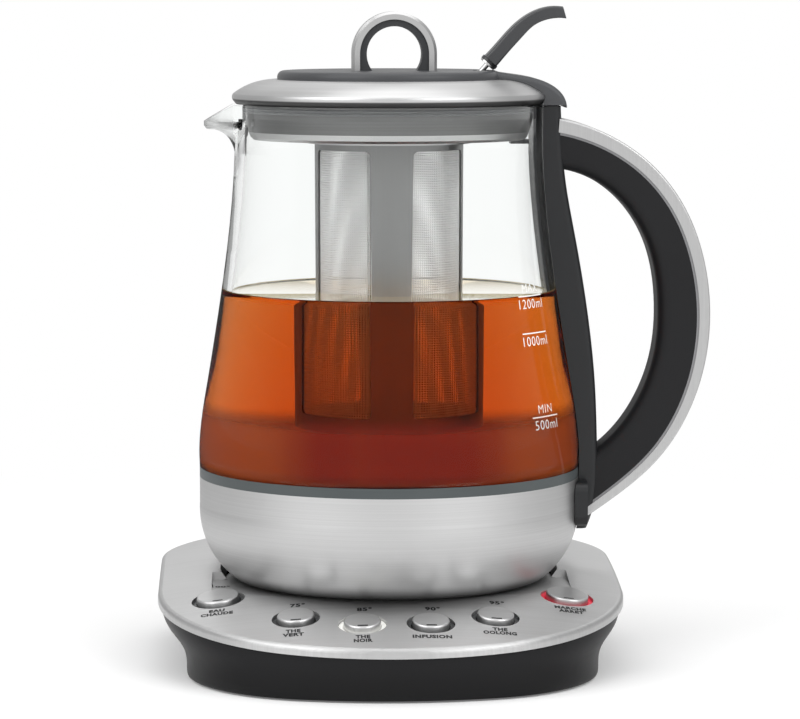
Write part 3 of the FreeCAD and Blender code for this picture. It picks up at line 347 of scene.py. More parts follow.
def principled(name, colour, **values):
    # material with one Principled shader; returns the material, its tree, the shader and the coordinates
    made = bpy.data.materials.new(name)
    nt = tree(made)
    shader = add(nt, "ShaderNodeBsdfPrincipled", values={"Base Color": colour})
    for key, value in values.items():
        shader.inputs[key].default_value = value
    link(nt, shader.outputs[0], add(nt, "ShaderNodeOutputMaterial").inputs[0])
    coords = add(nt, "ShaderNodeTexCoord")
    made.diffuse_color = colour
    return made, nt, shader, coords.outputs["Object"]


def varied(nt, base, amount, lowest, highest):
    # base plus a varying amount, kept between two limits
    total = maths(nt, "ADD", amount, base)
    return maths(nt, "MINIMUM", maths(nt, "MAXIMUM", total, lowest), highest)


def tinted(nt, colour, amount, shader):
    # lightens and darkens the base colour with a varying amount
    bright = add(nt, "ShaderNodeHueSaturation", values={"Color": colour})
    link(nt, maths(nt, "ADD", amount, 1.0), bright.inputs["Value"])
    link(nt, bright.outputs[0], shader.inputs["Base Color"])
    return bright.outputs[0]


def ridged(nt, shader, height, strength, depth):
    # raises the surface by a height from 0 to 1; the depth is in metres
    ridge = add(nt, "ShaderNodeBump", values={"Strength": strength, "Distance": depth})
    link(nt, height, ridge.inputs["Height"])
    link(nt, ridge.outputs[0], shader.inputs["Normal"])


def paintedShadeBelow(nt, coords, tone, dim):
    # paints shade on a tone below a height, darker towards the bottom, as painted shade; it is given as (low,
    # high, share): below low only that share of the colour is left
    *heights, share = dim
    split = add(nt, "ShaderNodeSeparateXYZ")
    link(nt, coords, split.inputs[0])
    left = ranged(nt, split.outputs["Z"], *inMetres(heights), share, 1.0)
    return maths(nt, "SUBTRACT", maths(nt, "MULTIPLY", maths(nt, "ADD", tone, 1.0), left), 1.0)


# how far a skin's roughness and tone vary, how strongly it is ridged, and how deep, in metres
metalSkin = {"smear": 0.12, "lines": 0.5, "smoothest": 0.12, "roughest": 0.7, "groove": 0.0001, "bump": 0.12}
plasticSkin = {"tone": 0.3, "smoothest": 0.05, "roughest": 0.95, "groove": 0.0001, "bump": 0.10, "sheen": 0.25}
quarterTurn = 0.25
strokeTurns = {"alongX": (90, 0, 0), "alongY": (90, 0, 90), "alongZ": (0, 90, 0)}


def brushedSteel(name, colour, roughness, stroke="turned", contrast=0.35, along=9.0, across=2400.0,
                 anisotropy=0.0, dim=None, stain=None):
    # painted shade below a height is given as (low, high, share); the tea colour is painted tea shade, the
    # metal's colour where it is seen through the tea
    made, nt, shader, coords = principled(name, colour, Metallic=1.0, Roughness=roughness)
    if stroke == "turned":
        turned = placed(nt, turnedCoords)
        link(nt, coords, turned.inputs[0])
        vector = turned.outputs[0]
    else:
        place = add(nt, "ShaderNodeMapping")
        place.inputs["Rotation"].default_value = [math.radians(angle) for angle in strokeTurns[stroke]]
        link(nt, coords, place.inputs["Vector"])
        vector = place.outputs[0]
    lines = placed(nt, brushLines, Along=along, Across=across, Contrast=contrast)
    link(nt, vector, lines.inputs["Vector"])
    smear = add(nt, "ShaderNodeTexNoise", values={"Scale": 22.0, "Detail": 2.0})
    link(nt, coords, smear.inputs["Vector"])
    tone = lines.outputs["Tone"]
    soft = maths(nt, "MULTIPLY", maths(nt, "SUBTRACT", smear.outputs[0], 0.5), metalSkin["smear"])
    change = maths(nt, "ADD", soft, maths(nt, "MULTIPLY", tone, metalSkin["lines"]))
    link(nt, varied(nt, roughness, change, metalSkin["smoothest"], metalSkin["roughest"]),
         shader.inputs["Roughness"])
    bright = tinted(nt, colour, paintedShadeBelow(nt, coords, tone, dim) if dim else tone, shader)
    if stain:
        # painted tea shade: behind tea there are more faces than the glass's two, and there the metal takes the
        # tea-tinted colour
        seenThroughTea = moreThan(nt, add(nt, "ShaderNodeLightPath"), "Transmission", 2)
        link(nt, mixedColour(nt, seenThroughTea, bright, stain), shader.inputs["Base Color"])
    ridged(nt, shader, lines.outputs["Height"], metalSkin["bump"], metalSkin["groove"])
    if anisotropy:
        shader.inputs["Anisotropic"].default_value = anisotropy
        shader.inputs["Anisotropic Rotation"].default_value = quarterTurn
        if stroke == "turned":
            direction = add(nt, "ShaderNodeTangent", direction_type="RADIAL", axis="Z")
        else:
            direction = add(nt, "ShaderNodeCombineXYZ", values={"X": 1.0})
        link(nt, direction.outputs[0], shader.inputs["Tangent"])
    return made


def plastic(name, colour, roughness, coat=0.0, mirror=0.25, dim=None):
    made, nt, shader, coords = principled(name, colour, Roughness=roughness)
    shader.inputs["Specular IOR Level"].default_value = mirror
    shader.inputs["Coat Weight"].default_value = coat
    skin = placed(nt, mouldedGrain)
    link(nt, coords, skin.inputs["Vector"])
    change = maths(nt, "MULTIPLY", skin.outputs["Sheen"], plasticSkin["sheen"])
    link(nt, varied(nt, roughness, change, plasticSkin["smoothest"], plasticSkin["roughest"]),
         shader.inputs["Roughness"])
    tone = maths(nt, "MULTIPLY", skin.outputs["Sheen"], plasticSkin["tone"])
    tinted(nt, colour, paintedShadeBelow(nt, coords, tone, dim) if dim else tone, shader)
    ridged(nt, shader, skin.outputs["Height"], plasticSkin["bump"], plasticSkin["groove"])
    return made


ringGlow = {"mean": 0.85, "change": 0.3, "darkest": 0.6, "brightest": 1.2}


def lit(name, colour, glow, strength):
    # a light guide with its lamp on; a fine cloud makes its glow uneven
    made, nt, shader, coords = principled(name, colour, Roughness=0.35)
    shader.inputs["Emission Strength"].default_value = strength
    cloud = add(nt, "ShaderNodeTexNoise", values={"Scale": 400.0, "Detail": 1.0})
    link(nt, coords, cloud.inputs["Vector"])
    shade = add(nt, "ShaderNodeHueSaturation", values={"Color": glow})
    change = maths(nt, "MULTIPLY", cloud.outputs[0], ringGlow["change"])
    link(nt, varied(nt, ringGlow["mean"], change, ringGlow["darkest"], ringGlow["brightest"]),
         shade.inputs["Value"])
    link(nt, shade.outputs[0], shader.inputs["Emission Color"])
    return made


glassWaves = {"bump": 0.05, "groove": 0.001}


def glass(name, colour, ior):
    # clear body; returns the material, its tree and its shader
    made, nt, shader, coords = principled(name, colour, Roughness=0.0, IOR=ior)
    shader.inputs["Transmission Weight"].default_value = 1.0
    waves = add(nt, "ShaderNodeTexNoise", values={"Scale": 16.0, "Detail": 1.0})
    link(nt, coords, waves.inputs["Vector"])
    ridged(nt, shader, waves.outputs[0], glassWaves["bump"], glassWaves["groove"])
    return made, nt, shader


# the tea's colours; sheen is the colour of a painted glow on its level surface; level and grazing are the ranges
# of the normal's Z and the view where that painted sheen glows
brew = {"surface": (1, 0.99, 0.95, 1), "ior": 1.30, "inside": (0.90, 0.56, 0.04, 1), "density": 48.0,
        "sheen": (0.30, 0.24, 0.10, 1), "level": (0.8, 0.95), "grazing": (0.55, 0.85)}


def teaLiquid():
    made, nt, shader = glass("steepedTea", brew["surface"], brew["ior"])
    inside = add(nt, "ShaderNodeVolumeAbsorption", values={"Color": brew["inside"], "Density": brew["density"]})
    link(nt, inside.outputs[0], nt.nodes["Material Output"].inputs["Volume"])
    shader.inputs["Specular Tint"].default_value = grey(0)
    # the level surface gets a coat, and a painted sheen that glows in place of the light of the wall behind it
    facing = add(nt, "ShaderNodeSeparateXYZ")
    link(nt, add(nt, "ShaderNodeNewGeometry").outputs["Normal"], facing.inputs[0])
    level = ranged(nt, facing.outputs["Z"], *brew["level"])
    link(nt, level, shader.inputs["Coat Weight"])
    grazing = add(nt, "ShaderNodeLayerWeight", values={"Blend": 0.5})
    share = maths(nt, "MULTIPLY", level, ranged(nt, grazing.outputs["Facing"], *brew["grazing"]))
    link(nt, mixedColour(nt, share, grey(0), brew["sheen"]), shader.inputs["Emission Color"])
    shader.inputs["Emission Strength"].default_value = 1.0
    return made


# the painted tea shade: a sheet of colour in the tea's lower part, painted darker in the middle and lighter at
# the sides where the way through the tea is shorter; its colours in the middle and at the sides, across the
# distances from the middle plane where one ends and the other starts, near and far the heights where its near
# and its far side are gone and where they are full, in millimetres
teaShadeColours = {"flat": (0.3, 0.03, 0.01, 1), "middle": (0.33, 0.024, 0.012, 1), "side": (0.52, 0.095, 0.025, 1),
              "across": (26.0, 56.0), "cloud": 0.5, "stretch": (1.0, 1.0, 0.15), "near": (107.0, 97.5),
              "far": (92.0, 84.0), "full": 0.85, "roughness": 0.6}


# a sheet of painted shade below the basket, in place of the dark red seen through the tea: cloudy, painted
# darkest in the middle, and thinner upwards
def strongTea():
    made, nt, shader, coords = principled("strongTea", teaShadeColours["flat"], Roughness=teaShadeColours["roughness"])
    shader.inputs["Specular IOR Level"].default_value = 0.0
    split = add(nt, "ShaderNodeSeparateXYZ")
    link(nt, coords, split.inputs[0])
    side = ranged(nt, maths(nt, "ABSOLUTE", split.outputs["X"]), *inMetres(teaShadeColours["across"]))
    cloud = add(nt, "ShaderNodeTexNoise", values={"Scale": 60.0, "Detail": 2.0})
    stretched = add(nt, "ShaderNodeMapping", values={"Scale": teaShadeColours["stretch"]})
    link(nt, coords, stretched.inputs["Vector"])
    link(nt, stretched.outputs[0], cloud.inputs["Vector"])
    centred = maths(nt, "SUBTRACT", cloud.outputs[0], 0.5)
    share = maths(nt, "ADD", side, maths(nt, "MULTIPLY", centred, teaShadeColours["cloud"]))
    link(nt, mixedColour(nt, share, teaShadeColours["middle"], teaShadeColours["side"]), shader.inputs["Base Color"])
    # its far side and floor show lower down only, so that they don't shine through above the near side
    near = ranged(nt, split.outputs["Z"], *inMetres(teaShadeColours["near"]), 0.0, teaShadeColours["full"])
    far = ranged(nt, split.outputs["Z"], *inMetres(teaShadeColours["far"]), 0.0, teaShadeColours["full"])
    alpha = add(nt, "ShaderNodeMix", data_type="FLOAT")
    link(nt, add(nt, "ShaderNodeNewGeometry").outputs["Backfacing"], alpha.inputs[0])
    link(nt, near, alpha.inputs[2])
    link(nt, far, alpha.inputs[3])
    link(nt, alpha.outputs[0], shader.inputs["Alpha"])
    return made


finishes = {
    "base_plate": brushedSteel("plateSteel", grey(0.55), 0.40, "alongX", contrast=0.30, along=7.0,
                               across=2600.0, anisotropy=0.8),
    # the housing's colour is painted darker towards the bottom, as painted shade
    "base_housing": plastic("housingPlastic", srgb(32, 32, 34), 0.42, mirror=0.2, dim=(3.0, 26.0, 0.3)),
    "base_floor": plastic("floorPlastic", srgb(40, 40, 41), 0.6),
    "base_foot_ring": plastic("footRubber", srgb(30, 30, 30), 0.8),
    "base_screws": brushedSteel("screwSteel", grey(0.55), 0.3, "alongZ"),
    "connector_socket": plastic("socketPlastic", srgb(30, 30, 31), 0.35),
    "socket_contacts": brushedSteel("contactBrass", srgb(205, 170, 100), 0.3),
    "control_board": plastic("boardLacquer", srgb(30, 84, 50), 0.35, coat=0.4),
    "button_switches": plastic("switchPlastic", srgb(38, 38, 38), 0.55),
    "relay": plastic("relayPlastic", srgb(40, 80, 150), 0.35),
    "capacitors": brushedSteel("canAluminium", grey(0.7), 0.35),
    "seam_ring": plastic("seamGrey", srgb(80, 85, 86), 0.35),
    "jug_gasket": plastic("gasketSilicone", srgb(205, 205, 200), 0.5),
    # the bowl's colour is painted dark at its foot, as painted shade
    "steel_bowl": brushedSteel("bowlSteel", grey(0.58), 0.46, contrast=0.30, along=7.0, across=2300.0,
                               anisotropy=0.5, dim=(33.0, 40.0, 0.12)),
    "heating_plate": brushedSteel("heaterSteel", grey(0.30), 0.55),
    "heating_element": brushedSteel("elementAluminium", grey(0.62), 0.4),
    "bowl_cover": plastic("coverPlastic", srgb(24, 24, 24), 0.6),
    "handle_spine": plastic("spinePlastic", srgb(28, 29, 31), 0.34, mirror=0.4),
    "handle_grip": plastic("gripPlastic", srgb(24, 24, 26), 0.5),
    "handle_band": brushedSteel("bandSteel", grey(0.52), 0.42, "alongZ", contrast=0.25, along=12.0),
    "handle_trim": plastic("trimGrey", srgb(140, 140, 142), 0.3),
    # the dome's colour is painted dark under its rim, as painted shade
    "lid_dome": brushedSteel("domeSteel", grey(0.58), 0.40, contrast=0.30, along=7.0, across=2300.0,
                             anisotropy=0.3, dim=(227.3, 228.0, 0.12)),
    "lid_top_plate": plastic("lidDark", srgb(74, 75, 77), 0.34),
    "lid_plug": brushedSteel("plugSteel", grey(0.215), 0.40, contrast=0.45, along=6.0, across=1500.0),
    "plug_lip": brushedSteel("lipSteel", grey(0.58), 0.36, contrast=0.25),
    "lid_seal": plastic("sealSilicone", srgb(140, 141, 142), 0.45),
    "loop_arch": brushedSteel("loopSteel", grey(0.54), 0.30, "alongY", contrast=0.20, along=14.0),
    "loop_liner": plastic("linerDark", srgb(60, 61, 63), 0.45),
    "lid_lever": plastic("leverDark", srgb(58, 59, 61), 0.32, mirror=0.5),
    "lever_rod": brushedSteel("rodSteel", grey(0.6), 0.22, "alongZ"),
    # the cage's colour is painted brownish where it is seen through the tea, as painted tea shade
    "infuser_frame": brushedSteel("cageSteel", grey(0.30), 0.42, "alongZ", contrast=0.20, along=10.0,
                                  stain=(0.18, 0.078, 0.06, 1)),
}

# where the pouring lip starts and where it is fully uneven, along X and up, in millimetres
lip = {"outwards": (-60.5, -63.5), "upwards": (196.0, 203.0), "roughness": 0.35}


def jugGlass():
    # the pouring lip was drawn out of the hot glass, so that its surface is a little uneven
    made, nt, shader = glass("jugGlass", (0.99, 1.0, 0.995, 1), 1.22)
    split = add(nt, "ShaderNodeSeparateXYZ")
    link(nt, add(nt, "ShaderNodeTexCoord").outputs["Object"], split.inputs[0])
    outwards = ranged(nt, split.outputs["X"], *inMetres(lip["outwards"]), 0.0, lip["roughness"])
    upwards = ranged(nt, split.outputs["Z"], *inMetres(lip["upwards"]))
    link(nt, maths(nt, "MULTIPLY", outwards, upwards), shader.inputs["Roughness"])
    return made


finishes["glass_jug"] = jugGlass()

# nodes that wear another node's finish
shared = {
    "power_board": "control_board", "cord_outlet": "base_foot_ring", "temperature_sensor": "heating_plate",
    "heater_bracket": "capacitors", "thermal_control": "button_switches", "cover_screws": "base_screws",
    "jug_connector": "socket_contacts", "handle_screws": "base_screws", "lid_screws": "base_screws",
    "lever_pin": "lever_rod", "lever_washer": "lever_rod", "lid_latch": "lid_lever",
    "infuser_ring": "plug_lip", "infuser_floor": "infuser_frame", "infuser_mesh": "infuser_frame",
}
capSteel = brushedSteel("capSteel", grey(0.64), 0.32, "alongX", contrast=0.28, across=2600.0, anisotropy=0.7)
ringClear = plastic("ringClear", srgb(70, 71, 72), 0.25)
rings = {"program_85": lit("ringWhite", srgb(235, 235, 230), srgb(255, 255, 250), 0.3),
         "power": lit("ringRed", srgb(190, 40, 60), srgb(235, 45, 70), 0.35)}


def dressNodes():
    for name, node in nodes.items():
        if name.endswith("_button"):
            finish = capSteel
        elif name.endswith("_light_ring"):
            finish = rings.get(name.replace("_light_ring", ""), ringClear)
        else:
            finish = finishes[shared.get(name, name)]
        node.data.materials.clear()
        node.data.materials.append(finish)


dressNodes()
print("finishes on", len(nodes), "nodes")


# the tea and the sheet of painted tea shade in it, in millimetres: heater is the outline over the heating plate
# as (radius, height), foot the radius and heights in the glass's foot, wall the height where the glass is
# measured and the one where that point is set, edge the rim of the surface as (inwards, up); a gap below nought
# reaches into the glass
tea = {"level": 149.8, "gap": -0.15, "heater": [(65.9, 75.6), (65.9, 76.6), (67.9, 76.6), (67.9, 77.2)],
       "foot": (71.5, (77.4, 79.3)), "wall": (79.5, 79.4), "edge": [(0.0, 0.9), (0.5, 0.35), (1.6, 0.0)]}
shadeSheetShape = {"level": teaShadeColours["near"][0], "gap": 0.4, "heater": [(65.5, 76.0), (65.5, 77.6)],
          "foot": (71.4, (77.8, 79.6)), "wall": (80.0, 79.8), "edge": [(0.0, 0.0)]}
teaRows = {"from": 84.0, "apart": 4.0, "belowLevel": 1.0, "steps": 120}


def turnedMesh(name, profile, steps):
    # closed solid of revolution; the profile goes from the axis at the bottom to the axis at the top
    bm = bmesh.new()
    low = bm.verts.new((0, 0, profile[0][1] * mm))
    high = bm.verts.new((0, 0, profile[-1][1] * mm))
    rows = []
    for r, z in profile[1:-1]:
        rows.append([bm.verts.new((r * mm * math.cos(2 * math.pi * k / steps),
                                   r * mm * math.sin(2 * math.pi * k / steps), z * mm)) for k in range(steps)])
    for k in range(steps):
        n = (k + 1) % steps
        bm.faces.new((low, rows[0][n], rows[0][k]))
        bm.faces.new((high, rows[-1][k], rows[-1][n]))
        for a, b in zip(rows, rows[1:]):
            bm.faces.new((a[k], a[n], b[n], b[k]))
    bmesh.ops.recalc_face_normals(bm, faces=bm.faces)
    mesh = bpy.data.meshes.new(name)
    bm.to_mesh(mesh)
    bm.free()
    for polygon in mesh.polygons:
        polygon.use_smooth = True
    return sceneObject(name, mesh)


# the glass's outer wall, smooth through the profile's points
glassShape = [(77.0, 79.4), (77.0, 88.0), (73.7, 113.0), (69.2, 140.5), (65.3, 168.5), (62.9, 193.0),
              (62.2, 206.0), (62.2, 225.2)]


def jugSide(z):
    points = glassShape
    for i in range(len(points) - 1):
        if points[i][1] <= z <= points[i + 1][1]:
            break
    before, after = points[max(i - 1, 0)], points[min(i + 2, len(points) - 1)]
    (r0, z0), (r1, z1) = points[i], points[i + 1]
    slope0 = (r1 - before[0]) / (z1 - before[1])
    slope1 = (after[0] - r0) / (after[1] - z0)
    h = z1 - z0
    t = (z - z0) / h
    return ((2 * t ** 3 - 3 * t ** 2 + 1) * r0 + (t ** 3 - 2 * t ** 2 + t) * h * slope0
            + (3 * t ** 2 - 2 * t ** 3) * r1 + (t ** 3 - t ** 2) * h * slope1)


# how the inner wall is told from the outer one and from the foot inside, in millimetres
inner = {"from": 79.3, "to": 190.0, "footRadius": 72.5, "footSlope": 5, "thickness": 1.9}


def innerWall():
    # the glass's inner wall as its node has it, (height, radius) in millimetres
    rows = {}
    for v in nodes["glass_jug"].data.vertices:
        r, z = math.hypot(v.co.x, v.co.y) / mm, v.co.z / mm
        if v.co.x > 0 and inner["from"] < z < inner["to"]:
            least = inner["footRadius"] - (z - inner["from"]) / inner["footSlope"]
            if least < r < jugSide(z) - inner["thickness"]:
                rows.setdefault(round(z, 2), []).append(r)
    return sorted((z, sum(found) / len(found)) for z, found in rows.items())


wallRows = innerWall()
print("glass wall found at", len(wallRows), "heights")


def insideGlass(z, gap):
    for (z0, r0), (z1, r1) in zip(wallRows, wallRows[1:]):
        if z0 <= z <= z1:
            return r0 + (r1 - r0) * (z - z0) / (z1 - z0) - gap
    return wallRows[0][1] - gap


def teaProfile(shape):
    # from the axis on the heating plate out to the glass, up along it, and back to the axis at the level
    gap, level = shape["gap"], shape["level"]
    footRadius, footHeights = shape["foot"]
    wallAt, wallHeight = shape["wall"]
    points = [(0, shape["heater"][0][1])] + shape["heater"]
    points += [(footRadius - gap, z) for z in footHeights] + [(insideGlass(wallAt, gap), wallHeight)]
    z = teaRows["from"]
    while z < level - teaRows["belowLevel"]:
        points.append((insideGlass(z, gap), z))
        z += teaRows["apart"]
    points += [(insideGlass(level, gap) - inwards, level + up) for inwards, up in shape["edge"]]
    return points + [(0, level)]


def makeTea():
    liquid = turnedMesh("tea", teaProfile(tea), teaRows["steps"])
    liquid.data.materials.append(teaLiquid())
    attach(liquid, "jug")
    shadeSheet = turnedMesh("strong_tea", teaProfile(shadeSheetShape), teaRows["steps"])
    shadeSheet.data.materials.append(strongTea())
    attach(shadeSheet, "jug")


makeTea()
print("tea poured")


# infuser's wire mesh, in millimetres
wire = {"pitch": 0.95, "thickness": 0.36, "low": 95.8, "high": 209.2, "foot": 28.2, "top": 28.9, "around": 190,
        "segments": 96, "corners": 4, "tone": 0.95, "roughness": 0.5, "metallic": 0.35}


def wireTree():
    # rings of wire up the sleeve, and upright wires round it
    group = bpy.data.node_groups.new("wireSleeve", "GeometryNodeTree")
    for label, kind in (("Geometry", "Geometry"), ("Foot radius", "Float"), ("Top radius", "Float"),
                        ("Low", "Float"), ("High", "Float"), ("Rings", "Int"), ("Uprights", "Int"),
                        ("Wire radius", "Float"), ("Segments", "Int"), ("Material", "Material")):
        group.interface.new_socket(name=label, in_out="INPUT", socket_type="NodeSocket" + kind)
    group.interface.new_socket(name="Geometry", in_out="OUTPUT", socket_type="NodeSocketGeometry")
    into, out = group.nodes.new("NodeGroupInput"), group.nodes.new("NodeGroupOutput")
    profile = add(group, "GeometryNodeCurvePrimitiveCircle", mode="RADIUS")
    profile.inputs["Resolution"].default_value = wire["corners"]
    link(group, into.outputs["Wire radius"], profile.inputs["Radius"])
    # rings: a line of points up the axis, a unit circle on each, grown to the sleeve's radius there
    axis = add(group, "GeometryNodeMeshLine", mode="END_POINTS")
    link(group, into.outputs["Rings"], axis.inputs["Count"])
    ends = []
    for level in ("Low", "High"):
        point = add(group, "ShaderNodeCombineXYZ")
        link(group, into.outputs[level], point.inputs["Z"])
        ends.append(point)
    link(group, ends[0].outputs[0], axis.inputs["Start Location"])
    link(group, ends[1].outputs[0], axis.inputs["Offset"])
    circle = add(group, "GeometryNodeCurvePrimitiveCircle", mode="RADIUS")
    circle.inputs["Radius"].default_value = 1.0
    link(group, into.outputs["Segments"], circle.inputs["Resolution"])
    height = add(group, "ShaderNodeSeparateXYZ")
    link(group, group.nodes.new("GeometryNodeInputPosition").outputs[0], height.inputs[0])
    radius = add(group, "ShaderNodeMapRange")
    link(group, height.outputs[2], radius.inputs["Value"])
    for source, target in (("Low", "From Min"), ("High", "From Max"), ("Foot radius", "To Min"),
                           ("Top radius", "To Max")):
        link(group, into.outputs[source], radius.inputs[target])
    grow = add(group, "ShaderNodeCombineXYZ")
    link(group, radius.outputs[0], grow.inputs[0])
    link(group, radius.outputs[0], grow.inputs[1])
    grow.inputs[2].default_value = 1.0
    onRings = add(group, "GeometryNodeInstanceOnPoints")
    link(group, axis.outputs[0], onRings.inputs["Points"])
    link(group, circle.outputs[0], onRings.inputs["Instance"])
    link(group, grow.outputs[0], onRings.inputs["Scale"])
    ringCurves = add(group, "GeometryNodeRealizeInstances")
    link(group, onRings.outputs[0], ringCurves.inputs[0])
    ringWire = add(group, "GeometryNodeCurveToMesh")
    link(group, ringCurves.outputs[0], ringWire.inputs["Curve"])
    link(group, profile.outputs[0], ringWire.inputs["Profile Curve"])
    # uprights: one line from foot to top, turned round the axis
    line = add(group, "GeometryNodeCurvePrimitiveLine")
    for radiusName, level, target in (("Foot radius", "Low", "Start"), ("Top radius", "High", "End")):
        point = add(group, "ShaderNodeCombineXYZ")
        link(group, into.outputs[radiusName], point.inputs["X"])
        link(group, into.outputs[level], point.inputs["Z"])
        link(group, point.outputs[0], line.inputs[target])
    turns = add(group, "GeometryNodePoints")
    link(group, into.outputs["Uprights"], turns.inputs["Count"])
    index = group.nodes.new("GeometryNodeInputIndex")
    share = add(group, "ShaderNodeMath", operation="DIVIDE")
    link(group, index.outputs[0], share.inputs[0])
    link(group, into.outputs["Uprights"], share.inputs[1])
    angle = add(group, "ShaderNodeMath", operation="MULTIPLY")
    link(group, share.outputs[0], angle.inputs[0])
    angle.inputs[1].default_value = 2 * math.pi
    facing = add(group, "ShaderNodeCombineXYZ")
    link(group, angle.outputs[0], facing.inputs["Z"])
    onTurns = add(group, "GeometryNodeInstanceOnPoints")
    link(group, turns.outputs[0], onTurns.inputs["Points"])
    link(group, line.outputs[0], onTurns.inputs["Instance"])
    link(group, facing.outputs[0], onTurns.inputs["Rotation"])
    uprightCurves = add(group, "GeometryNodeRealizeInstances")
    link(group, onTurns.outputs[0], uprightCurves.inputs[0])
    uprightWire = add(group, "GeometryNodeCurveToMesh")
    link(group, uprightCurves.outputs[0], uprightWire.inputs["Curve"])
    link(group, profile.outputs[0], uprightWire.inputs["Profile Curve"])
    both = add(group, "GeometryNodeJoinGeometry")
    link(group, ringWire.outputs[0], both.inputs[0])
    link(group, uprightWire.outputs[0], both.inputs[0])
    whole = add(group, "GeometryNodeRealizeInstances")
    link(group, both.outputs[0], whole.inputs[0])
    dressed = add(group, "GeometryNodeSetMaterial")
    link(group, whole.outputs[0], dressed.inputs[0])
    link(group, into.outputs["Material"], dressed.inputs["Material"])
    link(group, dressed.outputs[0], out.inputs[0])
    return group


def modifierInputs(modifier, values):
    # sets a Geometry Nodes modifier's inputs by their sockets' identifiers
    for item in modifier.node_group.interface.items_tree:
        if item.item_type == "SOCKET" and item.in_out == "INPUT" and item.name in values:
            modifier[item.identifier] = values[item.name]


def makeWireMesh():
    # the wire's colour is painted tinted where it is seen through the tea, as painted tea shade
    wireSteel = brushedSteel("wireSteel", grey(wire["tone"]), wire["roughness"], "alongZ", contrast=0.10,
                             stain=(0.62, 0.42, 0.40, 1))
    wireSteel.node_tree.nodes["Principled BSDF"].inputs["Metallic"].default_value = wire["metallic"]
    source = sceneObject("wireSource", bpy.data.meshes.new("wireSource"))
    modifier = source.modifiers.new("wireSleeve", "NODES")
    modifier.node_group = wireTree()
    modifierInputs(modifier, {
        "Foot radius": wire["foot"] * mm, "Top radius": wire["top"] * mm, "Low": wire["low"] * mm,
        "High": wire["high"] * mm, "Rings": int((wire["high"] - wire["low"]) / wire["pitch"]),
        "Uprights": wire["around"], "Wire radius": wire["thickness"] / 2 * mm, "Segments": wire["segments"],
        "Material": wireSteel})
    sleeve = evaluated(source, "wire_mesh")
    print("wire mesh", len(sleeve.data.polygons), "faces")
    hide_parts("infuser_mesh")
    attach(sleeve, "infuser")


makeWireMesh()
print("infuser ready")


# printed marks, in millimetres and degrees
crown = {"radius": 588.0, "height": 40.0, "tilt": 5.14}
crownTilt = math.radians(crown["tilt"])
crownCentre = Vector((0, crown["radius"] * math.sin(crownTilt),
                      crown["height"] - crown["radius"] * math.cos(crownTilt)))
buttonCircle = 80.4
buttonAngles = {"hot_water": -59.5, "program_75": -28.9, "program_85": -9.5, "program_90": 9.5,
                "program_95": 28.9, "power": 59.5}
markBlack = principled("markBlack", srgb(22, 22, 24), Roughness=0.6)[0]
markWhite = principled("markWhite", srgb(250, 250, 248), Roughness=0.5)[0]
letters = {"sizeToHeight": 1.4, "curveSteps": 3, "spread": 1.1}


def onCrown(x, y, lift):
    # point of the plate over (x, y), raised along the plate's normal, in millimetres
    z = crownCentre.z + math.sqrt(crown["radius"] ** 2 - x * x - (y - crownCentre.y) ** 2)
    point = Vector((x, y, z))
    return point + (point - crownCentre).normalized() * lift


def flatText(words, height, bold, spread, width=0.0):
    # filled letters as a bmesh in the XY plane, centred on their box's middle, stretched to a width if given
    curve = bpy.data.curves.new("letters", "FONT")
    curve.body = words
    curve.size = height * letters["sizeToHeight"]
    curve.align_x = "CENTER"
    curve.offset = bold
    curve.resolution_u = letters["curveSteps"]
    curve.space_character = spread
    flat = evaluated(sceneObject("letters", curve), "flatLetters")
    bm = bmesh.new()
    bm.from_mesh(flat.data)
    bpy.data.objects.remove(flat)
    xs = [v.co.x for v in bm.verts]
    ys = [v.co.y for v in bm.verts]
    stretch = width / (max(xs) - min(xs)) if width else 1.0
    for v in bm.verts:
        v.co.x = (v.co.x - (min(xs) + max(xs)) / 2) * stretch
        v.co.y -= (min(ys) + max(ys)) / 2
    bmesh.ops.triangulate(bm, faces=bm.faces)
    return bm


def printed(name, parts, material, body):
    # one thin printed piece from several flat shapes, each with its own way onto the surface
    joined = bmesh.new()
    for bm, place in parts:
        for v in bm.verts:
            v.co = place(v.co.x, v.co.y) * mm
        bm.normal_update()
        holder = bpy.data.meshes.new("holder")
        bm.to_mesh(holder)
        bm.free()
        joined.from_mesh(holder)
        bpy.data.meshes.remove(holder)
    mesh = bpy.data.meshes.new(name)
    joined.to_mesh(mesh)
    joined.free()
    made = sceneObject(name, mesh)
    made.data.materials.append(material)
    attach(made, body)


def flatBar(x0, x1, y0, y1, pieces=8):
    bm = bmesh.new()
    low = [bm.verts.new((x0 + (x1 - x0) * k / pieces, y0, 0)) for k in range(pieces + 1)]
    high = [bm.verts.new((x0 + (x1 - x0) * k / pieces, y1, 0)) for k in range(pieces + 1)]
    for k in range(pieces):
        bm.faces.new((low[k], low[k + 1], high[k + 1], high[k]))
    return bm


# words round each button: text, width, and how far to the right of the button and behind it, in millimetres
plateMarks = {"lift": 0.06, "number": 3.3, "word": 2.7, "bold": 0.2, "rayFrom": 100.0}
plateWords = {
    "hot_water": [("100°", 7.4, 0.8, 20.8), ("EAU", 6.2, -0.4, -13.2), ("CHAUDE", 12.6, -0.4, -16.8)],
    "program_75": [("75°", 5.9, 0.8, 13.6), ("THE", 5.7, -1.2, -12.2), ("VERT", 8.3, -1.2, -15.7)],
    "program_85": [("85°", 5.9, 1.2, 14.6), ("THE", 5.6, -0.1, -11.9), ("NOIR", 7.3, -0.1, -15.3)],
    "program_90": [("90°", 5.9, 1.3, 14.8), ("INFUSION", 15.2, 0.0, -12.2)],
    "program_95": [("95°", 5.9, 1.5, 15.2), ("THE", 5.8, 1.0, -12.0), ("OOLONG", 13.0, 0.8, -15.4)],
    "power": [("MARCHE", 12.4, 0.2, -13.2), ("ARRET", 9.9, 0.3, -16.7)],
}
